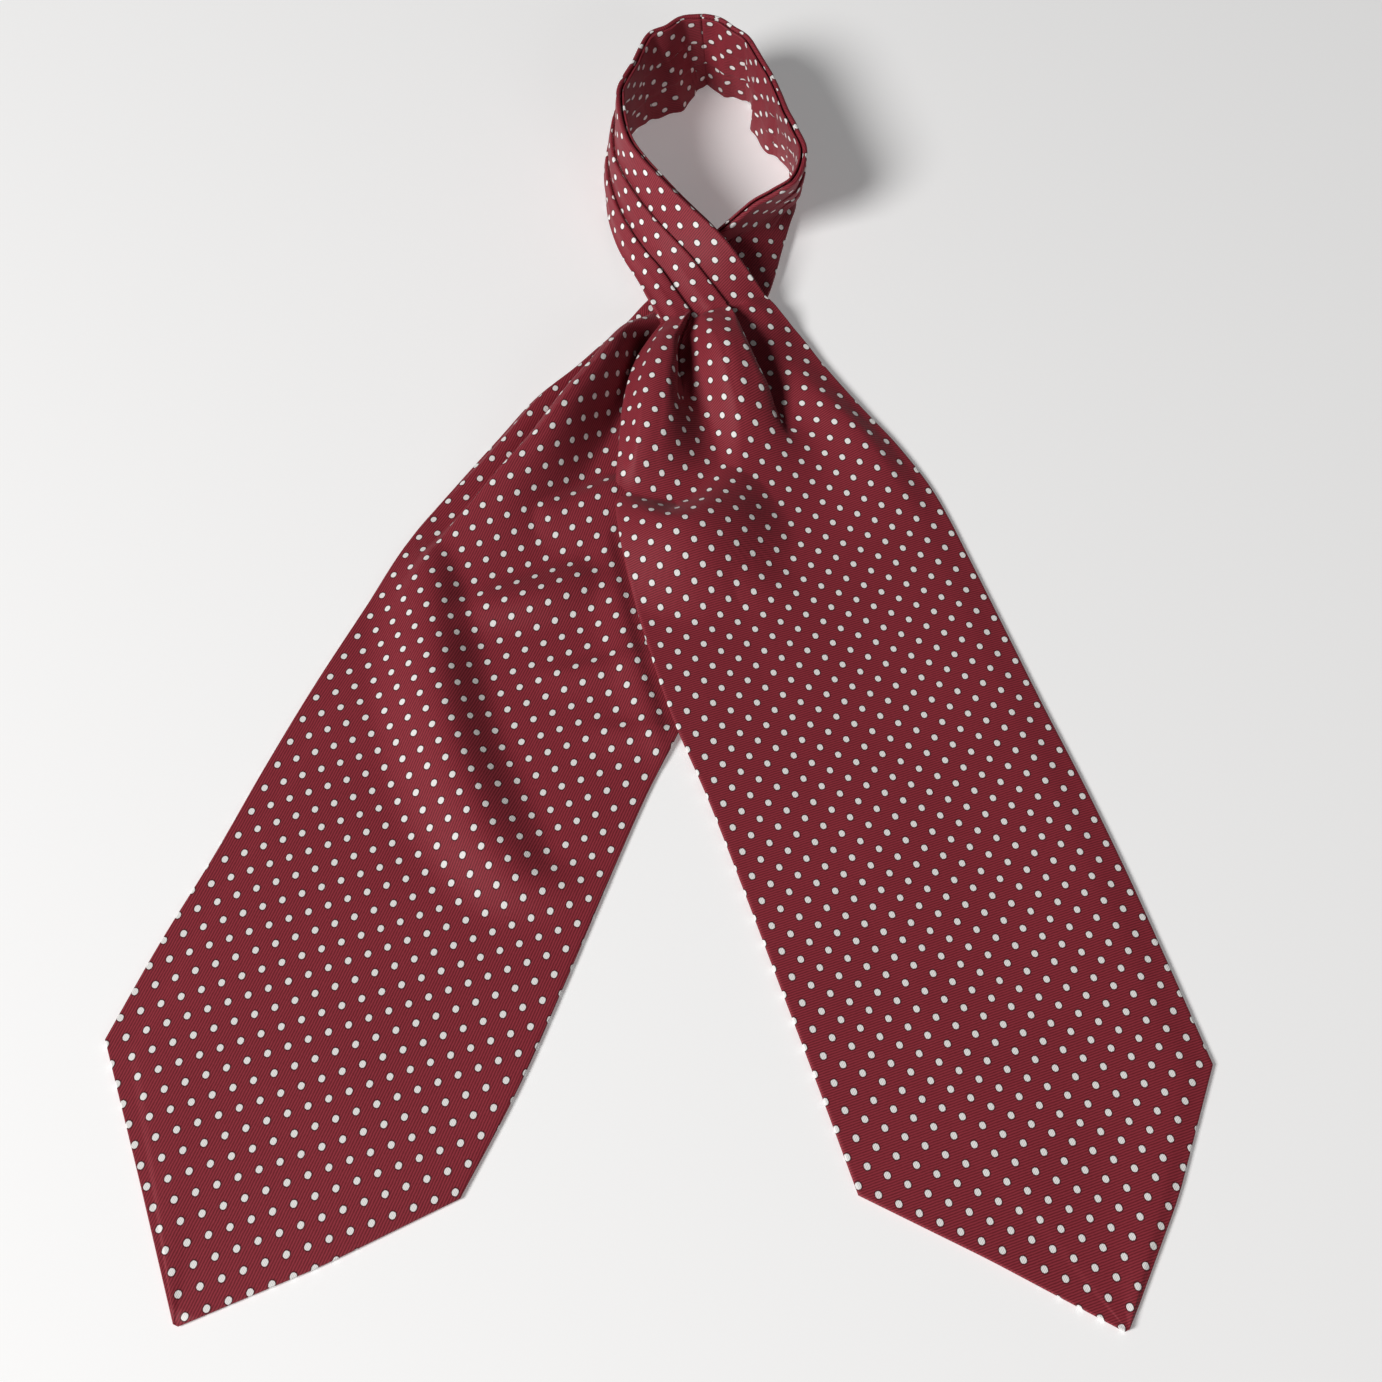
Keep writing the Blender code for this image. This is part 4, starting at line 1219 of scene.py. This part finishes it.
def hidden_steps(kind, crisp):
    """The steps across whose cloth is hidden inside a crisp fold edge."""
    seen = column_of(NOSE, "seen")
    cut = np.zeros((crisp.shape[1], len(kind) - 1), bool)
    for number in (1, 2):
        hidden = np.zeros(len(kind), bool)
        hidden[kind == number] = seen < 1.0
        cut |= (hidden[:-1] | hidden[1:])[None, :] & (crisp[number - 1] > CRISP_CUT)[:, None]
    return cut


def agreed(before, after, trust):
    """The step on each line, from the cells on its two sides: the cell that has it as its
    first side and the cell that has it as its last."""
    total = np.zeros((len(before) + 1,) + before.shape[1:])
    share = np.zeros((len(trust) + 1,) + trust.shape[1:])
    for part, cell_values in ((slice(None, -1), before), (slice(1, None), after)):
        total[part] += cell_values * trust
        share[part] += trust
    return total / share


# %% Unfolding
UNFOLD_PASSES = 1200
TURN_PASSES = 1000
CUT_WEIGHT = 1e-5
CUT_TRUST = 1e-3


def unfold(side, top, kind, crisp, fixed, known, twist):
    """Flat place across and along of each point.

    Every cell of the grid is turned in one piece, so first the turn of each cell is found
    from its neighbours, and then the places from the turned steps."""
    sign = 1.0 if side == "left" else -1.0
    across, along = np.diff(top, axis=1), np.diff(top, axis=0)
    back, front, near, far = cell_sides(across, along, sign)
    turn_along = wrapped(angle_of(front[:-1]) - angle_of(back[1:]))
    turn_along -= np.diff(halfway(twist))[:, None]
    turn_across = wrapped(angle_of(far[:, :-1]) - angle_of(near[:, 1:]))

    # each step weighs as much as the width of cloth beside it, and a cut next to nothing
    cut = hidden_steps(kind, crisp)
    cell_cut = cut[:-1] | cut[1:]
    across_length = np.maximum(np.linalg.norm(across, axis=2), LEAST_STEP)
    along_length = np.maximum(np.linalg.norm(along, axis=2), LEAST_STEP)
    wide, long = halfway(across_length), halfway(along_length, 1)
    side_weight = np.where(cell_cut[:, 1:] | cell_cut[:, :-1], CUT_WEIGHT,
                           halfway(long, 1) / halfway(wide, 1))

    # the turn of each cell; cells of the flat part are known from the measured dots
    cell_fixed = fixed[1:, 1:] & fixed[:-1, :-1] & fixed[1:, :-1] & fixed[:-1, 1:]
    known_turn = angle_of(np.diff(halfway(known), axis=1) * sign)[:, :, None]
    if not cell_fixed.any():
        cell_fixed[0, len(kind) // 2] = True
        known_turn[:] = 0.0
    turn = best_values(turn_across[:, :, None], turn_along[:, :, None], side_weight,
                       halfway(wide) / halfway(long), cell_fixed, known_turn,
                       TURN_PASSES)[:, :, 0]

    # the turned steps of both cells beside a line, then the places
    trust = np.where(cell_cut, CUT_TRUST, 1.0)[:, :, None]
    want_across = agreed(rotate(back, turn), rotate(front, turn), trust)
    sides = [np.swapaxes(part, 0, 1) for part in (rotate(near, turn), rotate(far, turn), trust)]
    want_along = np.swapaxes(agreed(*sides), 0, 1)
    beside = halfway(np.concatenate([long[:1], long, long[-1:]])) / across_length
    ahead = halfway(np.concatenate([wide[:, :1], wide, wide[:, -1:]], axis=1), 1) / along_length
    flat = best_values(want_across, want_along, np.where(cut, CUT_WEIGHT, beside), ahead,
                       fixed, known, UNFOLD_PASSES)
    steps = np.linalg.norm(np.diff(flat, axis=0), axis=2) / along_length
    print("  unfolded", side, *flat.shape[:2], "stretch along",
          [round(float(v), 3) for v in np.percentile(steps, [2, 50, 98])])
    return flat


# %% Cloth coordinates of the strips
def blade_cloth(side, top, kind, crisp):
    """Cloth coordinates of an outer strip; its flat part keeps the measured dots."""
    row = CLOTH[side]
    known = flat_cloth(side, top[:, :, :2] - np.array([row.dot_x, row.dot_y]))
    fixed = np.zeros(top.shape[:2], bool)
    fixed[BAND_ROWS - 1:][blade_rows > row.flat_from] = True
    run = np.concatenate([np.linspace(-1.0, 0.0, BAND_ROWS)[:-1], blade_rows])
    twist = math.radians(row.twist) * ramp(run, (row.twist_from, row.twist_to))
    return unfold(side, top, kind, crisp, fixed, known, twist)


def band_cloth(side, top, kind):
    """Cloth coordinates of a strip that has no blade."""
    fixed = np.zeros(top.shape[:2], bool)
    fixed[0, top.shape[1] // 2] = True
    crisp = np.ones((2, len(top)))
    known = np.zeros(top.shape[:2] + (2,))
    return unfold(side, top, kind, crisp, fixed, known, np.zeros(len(top)))


# %% The outer strips
front_strip = shell_mesh("front_strip", *make_strip("left"))
rear_strip = shell_mesh("rear_strip", *make_strip("right"))

# %% [markdown]
# ## The inner side of the band
#
# Inside the loop the same pleats show from behind, as two folds that look down to the
# lower edge.

# %% Inner pleats
INNER_BACK = 1.0
INNER_ENDS = (0.325, 0.645)     # where two of the three folds end, from the rim
INNER_BEFORE = 1.2
INNER_AFTER = 0.6
InnerRow = namedtuple("InnerRow", "from_rim depth")
INNER_FACE = rows_of(InnerRow, [
    (0.000, 2.1), (0.325, 2.9), (0.340, 2.0), (0.645, 2.9), (0.660, 2.0), (1.000, 2.3),
])


BuckleRow = namedtuple("BuckleRow", "row high width")
BUCKLE_AT_RIM = 0.25    # share of a buckle that is left at the rim
BUCKLE_FULL = 0.4       # share of the band's height at which it has all of it

# Upright buckles on the inner side, where the band bends: a place in BAND, how far the
# cloth comes forward there in millimetres, and how wide the buckle is.
BUCKLES = rows_of(BuckleRow, [
    (9.6, 1.2, 3.0),
    (11.2, -1.4, 2.6),
    (13.4, -1.6, 3.0),
    (15.4, 2.8, 4.0),
    (17.0, -1.7, 2.2),
    (19.6, 2.0, 3.0),
    (21.2, -1.7, 2.2),
    (23.4, 2.4, 3.6),
    (25.4, -1.6, 2.8),
    (27.0, 1.6, 3.0),
])


def buckled(stations, across):
    """How far the buckles bring the inner side forward."""
    total = np.zeros(len(stations))
    for row in BUCKLES:
        middle = np.interp(row.row, np.arange(len(band_knots)), band_knots)
        total += row.high * np.exp(-((stations - middle) / row.width) ** 2)
    share = BUCKLE_AT_RIM + (1 - BUCKLE_AT_RIM) * ease(across / BUCKLE_FULL)
    return total[:, None] * share


def inner_profile(across):
    return np.interp(across, column_of(INNER_FACE, "from_rim"), column_of(INNER_FACE, "depth"))


def make_inner(side):
    """The band's inner side, read from the rim to the lower edge."""
    stations, base, normals, widths = half_band(side)
    base = base[:, ::-1]
    normals = -normals[:, ::-1]
    edges = band_edges(INNER_ENDS, widths, INNER_BEFORE, INNER_AFTER)
    place, kind, drop = strip_columns(*edges)
    out = with_edges(inner_profile, place, kind, drop, *edges) + buckled(stations, place)
    top = standing_out(base, normals, place, out[:, :, None])
    under = standing_out(base, normals, even_places(BAND_ROWS), INNER_BACK)
    return top, under, band_cloth(side, top, kind)


inner_strips = [shell_mesh(side + "_inner_strip", *make_inner(side)) for side in STRIPS]

# %% [markdown]
# ## The silk
#
# The cloth is a wine-red silk twill with small white dots woven in. Three things make it:
# the fine diagonal line of the twill, the dots with their float threads and a ring of painted
# shade round each, and a soft sheen.
# All of them read the cloth's own coordinates, so they bend and break with the folds. The
# strips are cut on the bias, so the rows of dots run at 45 degrees to the strip.

# %% Small helpers for shader nodes
class Nodes:
    """Adds nodes to a material and joins them, one line for each step."""

    def __init__(self, material):
        self.tree = material.node_tree
        self.shader = self.tree.nodes["Principled BSDF"]

    def fill(self, node, inputs):
        """Give sockets, by name or by number, a value or a link."""
        for key, value in inputs.items():
            if hasattr(value, "links"):
                self.tree.links.new(value, node.inputs[key])
            else:
                node.inputs[key].default_value = value

    def add(self, kind, inputs, output=0, **settings):
        node = self.tree.nodes.new(kind)
        for name, value in settings.items():
            setattr(node, name, value)
        self.fill(node, inputs)
        return node.outputs[output]

    def maths(self, operation, *values):
        return self.add("ShaderNodeMath", dict(enumerate(values)), operation=operation)

    def plus(self, first, second):
        return self.maths("ADD", first, second)

    def minus(self, first, second):
        return self.maths("SUBTRACT", first, second)

    def times(self, first, second, more=0.0):
        return self.maths("MULTIPLY_ADD", first, second, more)

    def power(self, value, exponent):
        return self.maths("POWER", value, exponent)

    def wave(self, angle):
        """Even waves between 0 and 1."""
        return self.times(self.maths("SINE", angle), 0.5, 0.5)

    def split(self, vector):
        node = self.add("ShaderNodeSeparateXYZ", {0: vector}).node
        return node.outputs[0], node.outputs[1]

    def smooth(self, value, low, high):
        return self.add("ShaderNodeMapRange", {0: value, 1: low, 2: high, 3: 0.0, 4: 1.0},
                        interpolation_type="SMOOTHSTEP")

    def noise(self, vector, scale, detail, rough=0.5):
        return self.add("ShaderNodeTexNoise", {"Vector": vector, "Scale": scale,
                                               "Detail": detail, "Roughness": rough}, "Fac")

    def blend(self, share, first, second):
        return self.add("ShaderNodeMix", {0: share, 6: first, 7: second}, 2, data_type="RGBA")


print("helpers", [name for name in vars(Nodes) if not name.startswith("_")])

# %% The woven dots
DOT_HALF_ACROSS = 0.146     # of the pitch
DOT_HALF_ALONG = 0.176
DOT_ROUND = 2.3             # 2 is an ellipse, more is squarer
DOT_EDGE = (1.06, 0.94)     # over which a dot fades in, 1 being its outline
DOT_SHADOW_EDGE = (1.55, 1.10)     # and the painted shadow line round it
RAGGED = 0.18
RAGGED_SCALE = 2600.0
BIAS = 45.0


def woven_dots(n, cloth, phase):
    """Masks of the dots and of the painted shadow line round them."""
    # turn the cloth by 45 degrees, count in pitches and keep the fraction
    pitches = 1 / (DOT_STEP * MM)
    counted = n.add("ShaderNodeMapping", {
        "Vector": cloth, "Location": (phase, phase, 0.0),
        "Rotation": (0.0, 0.0, math.radians(BIAS)), "Scale": (pitches, pitches, 1.0)})
    cell = n.add("ShaderNodeVectorMath", {0: counted}, operation="FRACTION")
    middle = n.add("ShaderNodeVectorMath", {0: cell, 1: (0.5, 0.5, 0.0)}, operation="SUBTRACT")
    across, along = n.split(n.add("ShaderNodeMapping", {
        "Vector": middle, "Rotation": (0.0, 0.0, math.radians(-BIAS))}))
    reach = n.power(n.plus(
        n.power(n.maths("DIVIDE", n.maths("ABSOLUTE", across), DOT_HALF_ACROSS), DOT_ROUND),
        n.power(n.maths("DIVIDE", n.maths("ABSOLUTE", along), DOT_HALF_ALONG), DOT_ROUND)),
        1 / DOT_ROUND)
    uneven = n.times(n.minus(n.noise(cloth, RAGGED_SCALE, 1.0), 0.5), RAGGED)
    reach = n.plus(reach, uneven)
    dot = n.smooth(reach, *DOT_EDGE)
    # the second mask is a ring of painted shade round each dot
    return dot, n.times(n.smooth(reach, *DOT_SHADOW_EDGE), n.minus(1.0, dot))


# %% The silk twill
TWILL_PITCH = 0.00105
FLOAT_PITCH = 0.00062       # of the float threads that make a dot
WANDER, WANDER_SCALE = 1.6, 420.0
SLUB_SCALE, BROAD_SCALE = 900.0, 16.0
TWILL_TONE, SLUB_TONE, BROAD_TONE = 0.80, 0.60, 0.30
TONE_RANGE = (0.40, 1.20)
# how far the painted shade ring darkens the ground
DOT_SHADOW_DARK = 0.85
DOT_SLUB, DOT_FLAT = 0.7, 0.1
WINE = (0.165, 0.0150, 0.0232, 1.0)
WINE_LIGHT = (0.330, 0.0345, 0.0520, 1.0)
# a darker wine, painted as the shade round each dot
WINE_DOT_SHADOW = (0.055, 0.006, 0.010, 1.0)
DOT_WHITE = (0.98, 0.97, 0.95, 1.0)
DOT_SHADE = (0.76, 0.75, 0.72, 1.0)
ROUGH, TWILL_ROUGH, DOT_ROUGH, SLUB_ROUGH = 0.50, 0.06, 0.12, 0.10
GLOSS = {"Specular IOR Level": 0.22, "Sheen Weight": 0.10, "Sheen Roughness": 0.45,
         "Sheen Tint": (1.0, 0.62, 0.66, 1.0)}
TWILL_HIGH, SLUB_HIGH, FLOAT_HIGH, DOT_HIGH = 0.45, 0.35, 0.4, 0.9
RELIEF = 0.00022
RELIEF_SHARE = 0.70


def silk_twill(name, phase, twill_along, depth=1.0):
    """Wine silk twill with woven dots; twill_along is the share of the twill's direction."""
    material = bpy.data.materials.new(name)
    material.use_nodes = True
    n = Nodes(material)
    cloth = n.add("ShaderNodeUVMap", {}, "UV", uv_map="cloth")
    dot, rim = woven_dots(n, cloth, phase)

    # twill lines, and the float threads of the dots
    across, along = n.split(cloth)
    turn = 2 * math.pi / TWILL_PITCH
    angle = math.radians(90.0 * twill_along)
    line = n.times(along, math.cos(angle) * turn, n.times(across, math.sin(angle) * turn))
    twill = n.wave(n.plus(line, n.times(n.noise(cloth, WANDER_SCALE, 1.0), WANDER)))
    threads = n.wave(n.times(across, 2 * math.pi / FLOAT_PITCH))

    slub = n.noise(cloth, SLUB_SCALE, 3.0, 0.65)
    broad = n.noise(cloth, BROAD_SCALE, 2.0)
    tone = n.times(twill, TWILL_TONE, n.times(slub, SLUB_TONE, n.times(broad, BROAD_TONE)))
    ground = n.blend(n.smooth(tone, *TONE_RANGE), WINE, WINE_LIGHT)
    # painted shade: a ring of darker wine round each dot stands in for the raised dot's shadow
    ground = n.blend(n.times(rim, DOT_SHADOW_DARK), ground, WINE_DOT_SHADOW)
    white = n.blend(n.times(threads, n.times(slub, DOT_SLUB, DOT_FLAT)), DOT_WHITE, DOT_SHADE)
    rough = n.times(dot, DOT_ROUGH, n.times(twill, TWILL_ROUGH, ROUGH))

    high = n.times(n.times(twill, TWILL_HIGH, n.times(slub, SLUB_HIGH)), n.minus(1.0, dot),
                   n.times(n.times(threads, FLOAT_HIGH, DOT_HIGH), dot))
    relief = n.add("ShaderNodeBump", {"Strength": RELIEF_SHARE, "Distance": RELIEF * depth,
                                      "Height": high}, "Normal")
    n.fill(n.shader, {"Base Color": n.blend(dot, ground, white), "Normal": relief,
                      "Roughness": n.times(slub, SLUB_ROUGH, rough), **GLOSS})
    return material


front_strip.data.materials.append(silk_twill("wine_silk_front", 0.5, 0.0))
rear_strip.data.materials.append(silk_twill("wine_silk_rear", 0.5, 1.0))
inner_silk = silk_twill("wine_silk_inner_side", 0.0, 1.0, 0.8)
for piece in inner_strips:
    piece.data.materials.append(inner_silk)
print("silk on", [piece.name for piece in (front_strip, rear_strip, *inner_strips)])

# %% Tell the frame what each piece is
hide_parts("front_blade", "left_lower_pleat", "left_middle_pleat",
            "left_upper_pleat")
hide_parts("rear_blade", "right_lower_pleat", "right_middle_pleat",
            "right_upper_pleat")
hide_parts("left_inner_pleats")
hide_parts("right_inner_pleats")
for piece in (front_strip, rear_strip):
    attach(piece, "root")
for piece in inner_strips:
    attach(piece, "root")
